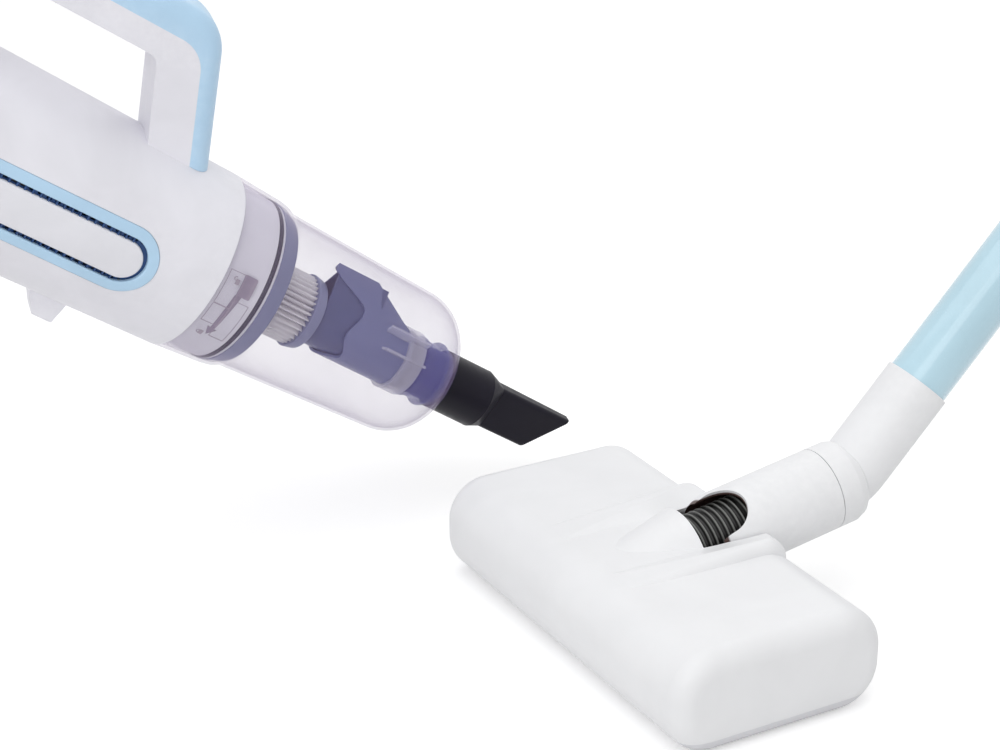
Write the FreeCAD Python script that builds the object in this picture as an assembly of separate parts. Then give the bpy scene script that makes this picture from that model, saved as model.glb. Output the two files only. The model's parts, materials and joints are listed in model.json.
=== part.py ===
import FreeCAD, Part
import math
import os
from FreeCAD import Placement, Rotation, Vector

# Cordless stick vacuum taken apart for use in two groups, sizes in millimetres.
# Hand group: motor case, dust cup and crevice nozzle, held nose down by its grip.
# Floor group: floor head, neck, elbow and wand, standing on the floor.
# Row frame: +Z up, neck towards +Y, origin on the floor under the middle of the head.

# --- where the groups are ---------------------------------------------------
HAND_AT = Vector(-240.4, -162.5, 171.0)   # seam between case and cup, on the hand axis
HAND_TURN = 82.8                          # heading of the hand axis from +X
HAND_DIP = 33.7                           # nose down
HAND_ROLL = 9.0                           # handle leans towards +X
NECK_HEIGHT = 42.3                        # neck axis above the floor at the head's middle
NECK_RISE = 9.4                           # neck above level
ELBOW_SWIVEL = 3.8                        # wand turned about the neck at rest
ELBOW_BEND = 38.7                         # wand to neck

# --- clearances -------------------------------------------------------------
RUN_GAP = 0.05        # radial, running fits
SHELL_GAP = 0.2       # between pieces seated in one body
MOVE_GAP = 0.5        # between pieces of different bodies
FIT_GAP = 0.3         # between curved faces of different bodies

# --- hand group, along its own axis: x forward, z towards the handle ---------
CASE_R = 54.0         # at the cup seam
CASE_REAR_R = 57.5
CASE_LEN = 200.0
CASE_WALL = 2.5
CAP_LEN = 27.0
CAP_SLOTS = 16
SOCKET_R = 6.0        # charging socket
CAP_END_R = 34.0
VENT_MID = -112.0     # middle of the side vents
VENT_LEN = 152.0
VENT_WIDE = 41.0
BEZEL_WIDE = 6.5
VENT_SLIT = 2.6
VENT_SLOTS = 24
GRILLE_T = 1.6
GRIP_W = 32.0         # handle across
GRIP_IN = 98.5        # underside of the grip above the axis
GRIP_LINE = 114.0     # joint between core and trim
GRIP_TOP = 132.0
STRUT_FOOT_X = -20.0  # outer edge of the front strut, at height STRUT_FOOT_Z
STRUT_FOOT_Z = 44.0
STRUT_LEAN = 26.2     # from square to the axis
STRUT_W = 37.0        # along the axis, square to the strut
TRIM_T = 12.5         # trim on the strut
TRIM_ROUND = 10.0
GRIP_REAR_X = -206.0
GRIP_FRONT_ROUND = 30.0
GRIP_REAR_ROUND = 24.0
CORE_FOOT_Z = 40.0    # where the core runs into the case
TRIM_FOOT_Z = 47.0
TRIM_REAR_T = 3.0     # trim behind the rear strut
REAR_STRUT_W = 24.0
SPIGOT_R = CASE_R - 4.5
SPIGOT_LEN = 31.0
SPIGOT_WALL = 3.0
LUG_OUT = 1.3
LUG_FROM, LUG_TO = 13.0, 21.0
LUG_ANGLE = 13.0
LUG_AT = 16.5         # angle of the first lug above the side
BAND_LEN = 10.5
BAND_WALL = 6.0
SEAL_R = 1.5          # section of the seal ring
SEAL_BACK = 2.8       # behind the spigot's end
CUP_WALL = 1.6
CUP_LIP_R = CASE_R
CUP_COLLAR_R = CUP_LIP_R - 1.7   # at the end of the spigot
CUP_RIDGE_R = CUP_LIP_R - 2.4    # in front of it, where the step starts
CUP_BODY_R = CUP_LIP_R - 5.0     # just past the band
CUP_FRONT_R = 45.0
CUP_LEN = 177.5
CUP_NOSE = 30.0       # rounding at the front
INLET_R = 16.05       # bore of the inlet collar
INLET_WALL = 2.0
INLET_LEN = 30.0
DUCT_R = 18.3
DUCT_WALL = 1.8
DUCT_FROM = 91.0
DUCT_TO = CUP_LEN - INLET_LEN - SHELL_GAP
DUCT_ROOF = 37.5      # top of the raised roof above the axis
FILTER_R = 22.0
FILTER_LEN = 26.0
PLEATS = 36
PLEAT_DEEP = 6.0
CAP_R = FILTER_R + 1.2
FILTER_CAP_LEN = 14.0
NOZZLE_R = 18.4
NOZZLE_WALL = 1.6
NOZZLE_STEP = CUP_LEN + 42.5
NOZZLE_TIP = CUP_LEN + 96.0
NOZZLE_BLADE = 29.0
NOZZLE_THIN = 13.0
TIP_SLANT = 20.0
SPIGOT_IN = 28.0      # how far a nozzle or wand goes into the inlet

# --- motor, battery and board ------------------------------------------------
MOTOR_R = 26.0
MOTOR_FROM, MOTOR_TO = -86.0, -30.0
SHAFT_R = 2.5
BEARING_R = 7.0
BEARING_LEN = 5.0
FAN_R = 32.0
FAN_LEN = 10.0
FAN_BLADES = 11
BULKHEAD_X = -6.0
BULKHEAD_T = 4.0
FAN_EYE_R = 15.0
CELL_R = 9.2
CELL_LEN = 65.0
CELL_RING_R = 22.0
CELLS = 5
CELLS_REAR = -190.0
BOARD_X = -114.0
BOARD_T = 1.6
BOARD_R = 30.0
BUTTON_X = -165.0
BUTTON_R = 8.0
BUTTON_TRAVEL = 2.0
FOOT_W = 18.0
FOOT_X = -60.0
SCREW_R = 1.6
SCREW_HEAD_R = 3.0
STRUT_SCREW_Z = 80.0
LOW_SCREWS = (-34.0, -158.0)   # places along the case
SCREW_REACH = GRIP_W / 2 - 4   # right of the middle, where the screw's tip ends

# --- floor group ---------------------------------------------------------------
HEAD_LEN = 246.0
HEAD_DEEP = 128.0
HEAD_HIGH = 57.0
HEAD_ROUND = 24.0
HEAD_END_ROUND = 11.0
HEAD_WALL = 2.6
SOLE_CLEAR = 1.5      # sole above the floor
SOLE_T = 2.0
TRAY_T = 2.2
BASE_SPLIT = 9.0      # joint between top cover and base above the floor
SADDLE_W = 90.0
SADDLE_ROUND = 6.0
SADDLE_FROM = -53.0   # where the saddle starts, on the head's front rounding
SADDLE_KNEE = -36.0   # where it comes out of the head
KNEE_RISE = 0.8
EAR_R = 13.0          # rear of the saddle, round the neck's pivot
VALLEY_R = 90.0       # hollow between the two ears
NECK_R = 24.0
NECK_WALL = 3.0
PIVOT_S = 46.0        # along the neck axis from the head's middle
PIVOT_R = 5.0
PIN_OUT = 37.5        # outer ends of the pivot pins
CHEEK_X = 33.0        # inner walls of the head that hold the pins
CHEEK_T = 8.0
NECK_END = 111.0
COLLAR_END = 130.0
BEND_S = 129.0
BEND_R = 30.0
WAND_R = 18.0
ELBOW_R = WAND_R + 1.4
WAND_WALL = 1.5
SOCKET_RIM = 67.5
SOCKET_DEEP = 30.0
WAND_LEN = 380.0
WAND_CUFF_R = WAND_R + 2.5
WAND_CUFF_LEN = 34.0
HOSE_R = 17.8
HOSE_WALL = 1.6
HOSE_RIB = 1.2
HOSE_PITCH = 4.0
HOSE_BACK = 16.5      # start of the neck's hose, before the pivot
HOSE_STOP = 17.0      # its end, before the neck's end
CUFF_LEN = 7.0
HOOD_END = 19.5       # y of the hood's mouth
WINDOW_TO = 56.0
WINDOW_W = 29.0
WINDOW_TURN = 22.0    # off the top, towards +X
MOUTH_LEN = 200.0
MOUTH_DEEP = 22.0
MOUTH_Y = -26.0
SUCTION_WALL = 2.0    # channel behind the mouth
CHANNEL_HIGH = 18.0
WHEEL_R = 9.0
WHEEL_W = 8.0
AXLE_R = 2.0
WHEEL_GAP = 0.8       # each side of a wheel
POST_T = 3.0          # axle posts
WHEEL_X = 88.0
REAR_WHEEL_Y = 44.0
FRONT_WHEEL_Y = 12.0

X = Vector(1, 0, 0)
Y = Vector(0, 1, 0)
Z = Vector(0, 0, 1)
O = Vector(0, 0, 0)


# --- frames ---------------------------------------------------------------------
def heading(at, turn, dip, roll=0.0):
    turned = Rotation(Z, turn).multiply(Rotation(Y, dip)).multiply(Rotation(X, roll))
    return Placement(at, turned)


HAND = heading(HAND_AT, HAND_TURN, HAND_DIP, HAND_ROLL)
NECK = heading(Vector(0, 0, NECK_HEIGHT), 90, -NECK_RISE)
ELBOW = NECK.multiply(Placement(Vector(BEND_S, 0, 0), Rotation(X, ELBOW_SWIVEL)))
WAND = ELBOW.multiply(Placement(O, Rotation(Y, -ELBOW_BEND)))
FLOOR = Placement()


# --- shapes -----------------------------------------------------------------------
def rod(radius, start, end, y=0.0, z=0.0):
    return Part.makeCylinder(radius, end - start, Vector(start, y, z), X)


def ring(outer, inner, start, end):
    return rod(outer, start, end).cut(rod(inner, start - 1, end + 1))


def face_of(points, plane):
    corners = [plane(a, b) for a, b in points]
    return Part.Face(Part.makePolygon(corners + corners[:1]))


def spun(profile):
    face = face_of(profile, lambda a, b: Vector(a, 0, b))
    return face.revolve(O, X, 360)


def slab(points, y0, y1):
    face = face_of(points, lambda a, b: Vector(a, y0, b))
    return face.extrude(Vector(0, y1 - y0, 0))


def block(x0, x1, y0, y1, z0, z1):
    return Part.makeBox(x1 - x0, y1 - y0, z1 - z0, Vector(x0, y0, z0))


def stadium(length, width, mid_x, y0, y1):
    half = (length - width) / 2
    bar = block(mid_x - half, mid_x + half, y0, y1, -width / 2, width / 2)
    ends = [
        Part.makeCylinder(width / 2, y1 - y0, Vector(mid_x + side * half, y0, 0), Y)
        for side in (-1, 1)
    ]
    return bar.fuse(ends).removeSplitter()


def joined(shapes):
    return shapes[0].fuse(shapes[1:]).removeSplitter()


def arc_points(cx, cz, radius, start, end, steps):
    turn = [math.radians(start + (end - start) * i / steps) for i in range(steps + 1)]
    return [(cx + radius * math.cos(t), cz + radius * math.sin(t)) for t in turn]


# --- hand group: case ---------------------------------------------------------------
def case_radius(x):
    return CASE_R + (CASE_REAR_R - CASE_R) * (-x / CASE_LEN)


def case_solid(inset, start, end):
    rear_r, front_r = case_radius(start) - inset, case_radius(end) - inset
    return spun([(start, 0), (start, rear_r), (end, front_r), (end, 0)])


def strut_edge(offset, z):
    # x at height z on a line square-offset from the front strut's outer edge
    lean = math.radians(STRUT_LEAN)
    return STRUT_FOOT_X - offset / math.cos(lean) - (z - STRUT_FOOT_Z) * math.tan(lean)


def rounded_outline(corners):
    # corners are (x, z, radius); a radius of 0 keeps the corner sharp
    edges = []
    count = len(corners)
    starts, ends, bows = [], [], []
    for i, (x, z, radius) in enumerate(corners):
        here = Vector(x, 0, z)
        to_last = (Vector(corners[i - 1][0], 0, corners[i - 1][1]) - here).normalize()
        to_next = (Vector(corners[(i + 1) % count][0], 0, corners[(i + 1) % count][1]) - here).normalize()
        half = to_last.getAngle(to_next) / 2
        back = radius / math.tan(half)
        middle = (to_last + to_next).normalize() * (radius / math.sin(half) - radius)
        starts.append(here + to_last * back)
        ends.append(here + to_next * back)
        bows.append(here + middle)
    for i in range(count):
        if corners[i][2] > 0:
            edges.append(Part.Arc(starts[i], bows[i], ends[i]).toShape())
        edges.append(Part.LineSegment(ends[i], starts[(i + 1) % count]).toShape())
    return Part.Face(Part.Wire(edges))


def across(face, width):
    shifted = face.copy()
    shifted.translate(Vector(0, -width / 2, 0))
    return shifted.extrude(Vector(0, width, 0))


def handle_outline(inset_front, inset_top, foot_z, rear_inset):
    top = GRIP_TOP - inset_top
    return [
        (strut_edge(inset_front, foot_z), foot_z, 0),
        (strut_edge(inset_front, top), top, GRIP_FRONT_ROUND - inset_top / 2),
        (GRIP_REAR_X + rear_inset, top, GRIP_REAR_ROUND - inset_top / 2),
        (GRIP_REAR_X + rear_inset, foot_z, 0),
    ]


def finger_hole():
    low = 30.0
    rear = GRIP_REAR_X + REAR_STRUT_W
    return rounded_outline([
        (strut_edge(STRUT_W, low), low, 0),
        (strut_edge(STRUT_W, GRIP_IN), GRIP_IN, 7),
        (rear, GRIP_IN, 14),
        (rear, low, 0),
    ])


def handle_core():
    outline = rounded_outline(handle_outline(TRIM_T, GRIP_TOP - GRIP_LINE, CORE_FOOT_Z, TRIM_REAR_T))
    core = across(outline, GRIP_W).cut(across(finger_hole(), GRIP_W + 2))
    return core


def handle_trim():
    outline = rounded_outline(handle_outline(0, 0, TRIM_FOOT_Z, 0))
    inner = rounded_outline(handle_outline(TRIM_T, GRIP_TOP - GRIP_LINE, TRIM_FOOT_Z - 20, TRIM_REAR_T))
    trim = across(outline, GRIP_W)
    outer = [e for e in trim.Edges if on_side(e) and e.CenterOfMass.z > TRIM_FOOT_Z + 1]
    trim = trim.makeFillet(TRIM_ROUND, outer)
    trim = trim.cut(across(inner, GRIP_W + 2))
    trim = trim.cut(case_solid(-SHELL_GAP, -CASE_LEN, 0)).cut(cap_solid(-SHELL_GAP))
    trim = trim.cut(button_bore(2.5 + MOVE_GAP, GRIP_LINE - 1))
    return trim.cut(button_bore(BUTTON_R + MOVE_GAP, GRIP_LINE + 4))


def on_side(edge):
    return all(abs(abs(p.y) - GRIP_W / 2) < 0.01 for p in edge.discretize(5))


def button_bore(radius, low):
    return Part.makeCylinder(radius, GRIP_TOP - low + 10, Vector(BUTTON_X, 0, low), Z)


def vent_hole(length, width):
    return stadium(length, width, VENT_MID, -CASE_REAR_R - 5, CASE_REAR_R + 5)


def case_whole():
    shell = case_solid(0, -CASE_LEN, 0).cut(case_solid(CASE_WALL, -CASE_LEN - 1, 1))
    core = handle_core().cut(case_solid(CASE_WALL / 2, -CASE_LEN, 0)).cut(cap_solid(-SHELL_GAP))
    whole = shell.fuse(core)
    whole = whole.cut(vent_hole(VENT_LEN, VENT_WIDE))
    whole = whole.cut(grip_hollow())
    for x, seat, z in screw_places():
        whole = whole.fuse(screw_boss(x, z))
        whole = whole.cut(Part.makeCylinder(SCREW_R, SCREW_REACH + seat, Vector(x, -SCREW_REACH, z), Y))
        whole = whole.cut(Part.makeCylinder(SCREW_HEAD_R + SHELL_GAP, CASE_R, Vector(x, seat, z), Y))
    return whole


def grip_hollow():
    # room for the leads and the switch inside the grip
    half_w = GRIP_W / 2 - 4
    front = strut_edge(STRUT_W, GRIP_IN) - 8
    hollow = block(GRIP_REAR_X + REAR_STRUT_W, front, -half_w, half_w, GRIP_IN + 3, GRIP_LINE - 2)
    switch = button_bore(BUTTON_R - 1, GRIP_LINE - 4)
    return hollow.fuse(switch)


def half(shape, side):
    far = 400
    keep = block(-far, far, min(0, side * far), max(0, side * far), -far, far)
    return shape.common(keep)


def screw_places():
    # x, left of the middle where the head sits, z
    seat = GRIP_W / 2 - 7
    front = (strut_edge(STRUT_W - 9, STRUT_SCREW_Z), seat, STRUT_SCREW_Z)
    rear = (GRIP_REAR_X + REAR_STRUT_W / 2 + 2, seat, STRUT_SCREW_Z)
    low = [(x, seat, CASE_WALL + 3 - case_radius(x)) for x in LOW_SCREWS]
    return [front, rear] + low


def screw_boss(x, z):
    boss = Part.makeCylinder(SCREW_HEAD_R + 2, GRIP_W, Vector(x, -GRIP_W / 2, z), Y)
    return boss.common(case_solid(0.5, -CASE_LEN, 0)) if z < 0 else boss


def case_screws():
    screws = []
    for x, seat, z in screw_places():
        shank = Part.makeCylinder(SCREW_R - SHELL_GAP / 2, SCREW_REACH + seat, Vector(x, -SCREW_REACH, z), Y)
        top = Part.makeCylinder(SCREW_HEAD_R, 2.0, Vector(x, seat, z), Y)
        screws.append(shank.fuse(top).removeSplitter())
    return Part.makeCompound(screws)


def vent_skin(outer_r_inset, thick):
    outer = case_solid(outer_r_inset, -CASE_LEN, 0)
    inner = case_solid(outer_r_inset + thick, -CASE_LEN - 1, 1)
    return outer.cut(inner)


def bezel(side):
    frame = vent_hole(VENT_LEN - 2 * SHELL_GAP, VENT_WIDE - 2 * SHELL_GAP)
    frame = frame.cut(vent_hole(VENT_LEN - 2 * BEZEL_WIDE, VENT_WIDE - 2 * BEZEL_WIDE))
    return half(vent_skin(-0.8, CASE_WALL + 0.8), side).common(frame)


def vent_panel(side):
    trim = BEZEL_WIDE + VENT_SLIT
    plate = vent_hole(VENT_LEN - 2 * trim, VENT_WIDE - 2 * trim)
    return half(vent_skin(-0.3, CASE_WALL), side).common(plate)


def vent_grille(side):
    plate = vent_hole(VENT_LEN + 4, VENT_WIDE + 4)
    skin = half(vent_skin(CASE_WALL + SHELL_GAP, GRILLE_T), side).common(plate)
    slots = []
    slit_z = VENT_WIDE / 2 - BEZEL_WIDE - VENT_SLIT / 2
    row_len = VENT_LEN - 28
    for i in range(VENT_SLOTS):
        x = VENT_MID - row_len / 2 + i * row_len / (VENT_SLOTS - 1)
        for z in (-slit_z, slit_z):
            slots.append(block(x - 1.6, x + 1.6, -CASE_REAR_R, CASE_REAR_R, z - 0.9, z + 0.9))
    return skin.cut(slots)


def grille_room():
    # what inner frames leave free for the vent grilles
    plate = vent_hole(VENT_LEN + 8, VENT_WIDE + 8)
    return vent_skin(CASE_WALL - 1, GRILLE_T + 2 * SHELL_GAP + 1).common(plate)


def cap_profile(inset):
    front_r = CASE_REAR_R - inset
    mid_r = (CASE_REAR_R + CAP_END_R) / 2 + 6 - inset
    start = Vector(-CASE_LEN, 0, front_r)
    bow = Vector(-CASE_LEN - CAP_LEN * 0.66, 0, mid_r)
    end = Vector(-CASE_LEN - CAP_LEN + inset, 0, CAP_END_R - inset)
    rear = Vector(end.x, 0, 0)
    front = Vector(-CASE_LEN, 0, 0)
    edges = [
        Part.Arc(start, bow, end).toShape(),
        Part.LineSegment(end, rear).toShape(),
        Part.LineSegment(rear, front).toShape(),
        Part.LineSegment(front, start).toShape(),
    ]
    return Part.Face(Part.Wire(edges))


def cap_solid(inset):
    return cap_profile(inset).revolve(O, X, 360)


def rear_cap():
    shell = cap_solid(0).cut(cap_solid(CASE_WALL))
    slots = []
    for i in range(CAP_SLOTS):
        slot = block(-CASE_LEN - CAP_LEN - 1, -CASE_LEN - CAP_LEN + 5, -1.4, 1.4, 13, 28)
        slot.rotate(O, X, 360 * (i + 0.5) / CAP_SLOTS)
        slots.append(slot)
    shell = shell.cut(slots)
    shell = shell.cut(rod(SOCKET_R + SHELL_GAP, -CASE_LEN - CAP_LEN - 1, -CASE_LEN))
    lip = ring(CASE_REAR_R - CASE_WALL - SHELL_GAP, CASE_REAR_R - CASE_WALL - 2, -CASE_LEN - 1, -CASE_LEN + 4)
    lip = lip.common(case_solid(CASE_WALL + SHELL_GAP, -CASE_LEN - 2, 0))
    step = ring(CASE_REAR_R - 1, CASE_REAR_R - CASE_WALL - 2, -CASE_LEN - 3, -CASE_LEN)
    return joined([shell, step, lip])


def charge_socket():
    start = -CASE_LEN - CAP_LEN
    body = rod(SOCKET_R, start - 0.5, start + 12)
    rim = rod(SOCKET_R + 2, start + CASE_WALL, start + CASE_WALL + 1.5)
    return body.fuse(rim).removeSplitter().cut(rod(2.8, start - 1, start + 9))


def exhaust_filter():
    x = -CASE_LEN + 4.5
    return ring(CASE_REAR_R - CASE_WALL - 2 - SHELL_GAP, 9.0, x - 3.5, x + 2.5)


def rest_foot():
    r = case_radius(FOOT_X)
    corners = [(-16, 6), (-16, 1), (-5, -14.5), (7, -14.5), (10, 6)]
    profile = [(FOOT_X + x, z - r) for x, z in corners]
    foot = slab(profile, -FOOT_W / 2, FOOT_W / 2)
    foot = foot.cut(case_solid(-SHELL_GAP, -CASE_LEN, 0))
    sides = [e for e in foot.Edges if abs(abs(e.CenterOfMass.y) - FOOT_W / 2) < 0.01]
    rims = [e for e in sides if e.CenterOfMass.z < -r - 8]
    return foot.makeFillet(2.0, rims)


# --- hand group: spigot, seal, filter -------------------------------------------------
def front_spigot():
    tube = ring(SPIGOT_R, SPIGOT_R - SPIGOT_WALL, 0, SPIGOT_LEN)
    flange = ring(CASE_R - CASE_WALL - SHELL_GAP, SPIGOT_R - SPIGOT_WALL, -4, 0)
    plate = ring(SPIGOT_R - 1, FAN_EYE_R + 4, SPIGOT_LEN - 3, SPIGOT_LEN)
    body = joined([tube, flange, plate])
    groove = Part.makeTorus(SPIGOT_R - 0.8, SEAL_R + SHELL_GAP, Vector(SPIGOT_LEN - SEAL_BACK, 0, 0), X)
    body = body.cut(groove)
    for i in range(3):
        body = body.fuse(lug(i))
    return body.removeSplitter()


def lug(i):
    arc = ring(SPIGOT_R + LUG_OUT, SPIGOT_R - 1, LUG_FROM, LUG_TO)
    wedge_tip = 80
    width = math.tan(math.radians(LUG_ANGLE / 2)) * wedge_tip
    wedge = Part.Face(Part.makePolygon([O, Vector(0, -wedge_tip, -width), Vector(0, -wedge_tip, width), O]))
    wedge = wedge.extrude(X * 60)
    wedge.rotate(O, X, -LUG_AT + 120 * i)
    return arc.common(wedge)


def seal_ring():
    return Part.makeTorus(SPIGOT_R - 0.8, SEAL_R, Vector(SPIGOT_LEN - SEAL_BACK, 0, 0), X)


def cup_inner_r(x):
    inner_lip = CUP_LIP_R - CUP_WALL - 0.3
    inner_collar = CUP_COLLAR_R - CUP_WALL
    if x < SPIGOT_LEN:
        return inner_lip - (inner_lip - inner_collar) * x / SPIGOT_LEN
    return inner_collar - (inner_collar - (CUP_BODY_R - CUP_WALL)) * (x - SPIGOT_LEN) / BAND_LEN


def seal_band():
    start, end = SPIGOT_LEN, SPIGOT_LEN + BAND_LEN
    return spun([
        (start, SPIGOT_R - BAND_WALL),
        (start, cup_inner_r(start) - 2 * FIT_GAP),
        (end, cup_inner_r(end) - 2 * FIT_GAP),
        (end, CUP_BODY_R - CUP_WALL - BAND_WALL),
    ])


def filter_frame():
    end = SPIGOT_LEN + BAND_LEN
    plate = ring(CUP_BODY_R - CUP_WALL - BAND_WALL - SHELL_GAP, FILTER_R - 7, end - 3, end)
    neck = ring(FILTER_R - 7.5, FILTER_R - 9, SPIGOT_LEN, end + FILTER_LEN)
    holes = []
    for i in range(8):
        for row in range(3):
            hole = block(end + 4 + row * 7, end + 9 + row * 7, -1.8, 1.8, FILTER_R - 12, FILTER_R - 4)
            hole.rotate(O, X, 45 * i)
            holes.append(hole)
    spokes = ring(FILTER_R - 7, FILTER_R - 7.5, end - 3, end)
    return joined([plate, neck, spokes]).cut(holes)


def filter_media():
    start = SPIGOT_LEN + BAND_LEN
    points = []
    for i in range(PLEATS):
        for k, r in enumerate((FILTER_R, FILTER_R - PLEAT_DEEP)):
            t = 2 * math.pi * (i + k / 2) / PLEATS
            points.append(Vector(start, r * math.cos(t), r * math.sin(t)))
    star = Part.Face(Part.makePolygon(points + points[:1]))
    bore = rod(FILTER_R - PLEAT_DEEP - 1.4, start - 1, start + FILTER_LEN + 1)
    return star.extrude(X * FILTER_LEN).cut(bore)


def filter_cap():
    start = SPIGOT_LEN + BAND_LEN + FILTER_LEN
    end = start + FILTER_CAP_LEN
    return spun([(start, 0), (start, CAP_R), (end - 3, CAP_R - 1.2), (end, CAP_R - 4), (end, 0)])


# --- hand group: cup, duct, nozzle -------------------------------------------------------
def cup_outline(inset, lead):
    x0 = lead
    shoulder = SPIGOT_LEN + BAND_LEN
    nose_x = CUP_LEN - CUP_NOSE
    lip = CUP_LIP_R - inset - (0.3 if inset else 0)
    points = [(x0, 0), (x0, lip), (SPIGOT_LEN, CUP_COLLAR_R - inset), (SPIGOT_LEN + 5, CUP_RIDGE_R - inset),
              (shoulder, CUP_BODY_R - inset)]
    radius = CUP_NOSE - inset
    flat = CUP_FRONT_R - CUP_NOSE
    points += arc_points(nose_x, flat, radius, 90, 0, 12)
    points.append((nose_x + radius, 0))
    return points


def dust_cup():
    outer = spun(cup_outline(0, MOVE_GAP))
    inner = spun(cup_outline(CUP_WALL, -1))
    cup = outer.cut(inner)
    return cup.cut(rod(INLET_R + INLET_WALL, CUP_LEN - 10, CUP_LEN + 5))


def inlet_collar():
    start = CUP_LEN - INLET_LEN
    tube = ring(INLET_R + INLET_WALL, INLET_R, start, CUP_LEN + 0.8)
    rim = ring(INLET_R + INLET_WALL + 2.4, INLET_R, CUP_LEN - CUP_WALL - 5, CUP_LEN - CUP_WALL - 3)
    return tube.fuse(rim).removeSplitter()


def duct_section(inset):
    # round tube whose roof rises to a ridge
    r = DUCT_R - inset
    roof = DUCT_ROOF - inset * 1.3
    side = arc_points(0, 0, r, 200, 390, 24)
    ridge = [(2.5, roof), (-2.5, roof)]
    return [(a, b) for a, b in side] + ridge


def duct_solid(inset, start, end):
    corners = [Vector(start, a, b) for a, b in duct_section(inset)]
    face = Part.Face(Part.makePolygon(corners + corners[:1]))
    return face.extrude(X * (end - start))


def inlet_duct():
    tube = ring(DUCT_R, DUCT_R - DUCT_WALL, DUCT_FROM, DUCT_TO)
    hood_from, hood_to = DUCT_FROM - 10, DUCT_TO - 22
    hood = duct_solid(0, hood_from, hood_to).cut(duct_solid(DUCT_WALL, hood_from - 1, hood_to - DUCT_WALL))
    inside = rod(DUCT_R - DUCT_WALL, hood_from - 1, DUCT_TO + 1)
    over = DUCT_ROOF + 1
    slope = slab([(hood_to - 16, over), (hood_to + 1, over), (hood_to + 1, DUCT_R + 8)], -30, 30)
    rear = slab([(hood_from - 1, -30), (DUCT_FROM + 6, -30), (DUCT_FROM + 12, -6), (DUCT_FROM + 2, 10),
                 (DUCT_FROM - 11, DUCT_ROOF - 2), (hood_from - 1, over)], -30, 30)
    body = hood.fuse(tube).cut(inside).cut(slope).cut(rear)
    return largest(body.removeSplitter())


def largest(shape):
    return max(shape.Solids, key=lambda s: s.Volume)


def cup_ribs():
    # two clear fins that carry the duct from the inlet collar
    start, end = DUCT_TO - 21, CUP_LEN - INLET_LEN + 8
    fins = []
    for turn in (25, 60):
        fin = block(start, end, -DUCT_R - 6.5, -DUCT_R - SHELL_GAP, -0.8, 0.8)
        fin.rotate(O, X, -turn)
        fins.append(fin)
    tie = ring(DUCT_R + 2.2, DUCT_R + SHELL_GAP, DUCT_TO - 4, end)
    return joined(fins + [tie])


def rounded_bar(x, tall, wide, radius):
    corners = [(-wide / 2, -tall / 2), (wide / 2, -tall / 2), (wide / 2, tall / 2), (-wide / 2, tall / 2)]
    edges = []
    count = len(corners)
    for i in range(count):
        a = Vector(x, *corners[i])
        b = Vector(x, *corners[(i + 1) % count])
        c = Vector(x, *corners[(i + 2) % count])
        along = (b - a).normalize()
        after = (c - b).normalize()
        edges.append(Part.LineSegment(a + along * radius, b - along * radius).toShape())
        bow = b + (after - along) * radius * (1 - math.sqrt(0.5))
        edges.append(Part.Arc(b - along * radius, bow, b + after * radius).toShape())
    return Part.Wire(edges)


def nozzle_solid(inset, start):
    root_end = NOZZLE_STEP - 10
    root = rod(NOZZLE_R - inset, start, root_end)
    width = 2 * (NOZZLE_R - inset)
    circle = rounded_bar(root_end, width, width, 0.49 * width)
    mouth = rounded_bar(NOZZLE_STEP, NOZZLE_BLADE - 2 * inset, NOZZLE_THIN - 2 * inset, 3.0 - inset / 2)
    neck = Part.makeLoft([circle, mouth], True)
    end = rounded_bar(NOZZLE_TIP + 5, NOZZLE_BLADE - 2 * inset, NOZZLE_THIN - 3 - 2 * inset, 3.0 - inset / 2)
    blade = Part.makeLoft([mouth, end], True)
    return root.fuse([neck, blade])


def crevice_nozzle():
    start = CUP_LEN + 0.8 + MOVE_GAP
    body = nozzle_solid(0, start)
    spigot = rod(INLET_R - RUN_GAP, CUP_LEN - SPIGOT_IN + 2, start + 4)
    bore = rod(INLET_R - RUN_GAP - NOZZLE_WALL, CUP_LEN - SPIGOT_IN, start + 5)
    hollow = nozzle_solid(NOZZLE_WALL, start + 5)
    half_w = NOZZLE_BLADE / 2
    far = NOZZLE_TIP + 20
    heel = NOZZLE_TIP - TIP_SLANT
    slant = [(NOZZLE_TIP, half_w), (heel, -half_w), (heel, -2 * half_w), (far, -2 * half_w), (far, half_w)]
    tip = slab(slant, -30, 30)
    return body.fuse(spigot).cut([bore, hollow]).cut(tip).removeSplitter()


# --- hand group: motor and battery ----------------------------------------------------------
def motor_bulkhead():
    r = case_radius(BULKHEAD_X) - CASE_WALL - SHELL_GAP
    plate = ring(r, FAN_EYE_R, BULKHEAD_X - BULKHEAD_T, BULKHEAD_X)
    return plate


def fan_cover():
    front = BULKHEAD_X - BULKHEAD_T
    rear = MOTOR_TO
    wall = ring(FAN_R + 4, FAN_R + 2.5, rear - 4, front)
    back = ring(FAN_R + 2.5, MOTOR_R + SHELL_GAP, rear - 4, rear - 2.5)
    outlets = []
    for i in range(8):
        hole = block(rear - 5, rear - 2, -3, 3, MOTOR_R + 1.5, FAN_R + 1.5)
        hole.rotate(O, X, 45 * i)
        outlets.append(hole)
    return joined([wall, back]).cut(outlets)


def impeller():
    rear = MOTOR_TO + 5
    plate = rod(FAN_R, rear, rear + 1.5)
    hub = rod(6, rear, rear + FAN_LEN)
    blades = []
    for i in range(FAN_BLADES):
        blade = block(rear, rear + FAN_LEN - 2, -0.6, 0.6, 5, FAN_R)
        blade.rotate(Vector(0, 0, 5), X, 20)
        blade.rotate(O, X, 360 * i / FAN_BLADES)
        blades.append(blade)
    body = joined([plate, hub] + blades).common(rod(FAN_R, rear, rear + FAN_LEN))
    return body.cut(rod(SHAFT_R, rear - 1, rear + FAN_LEN + 1))


def motor_shaft():
    return rod(SHAFT_R, MOTOR_FROM + 2, MOTOR_TO + 5 + FAN_LEN)


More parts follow.
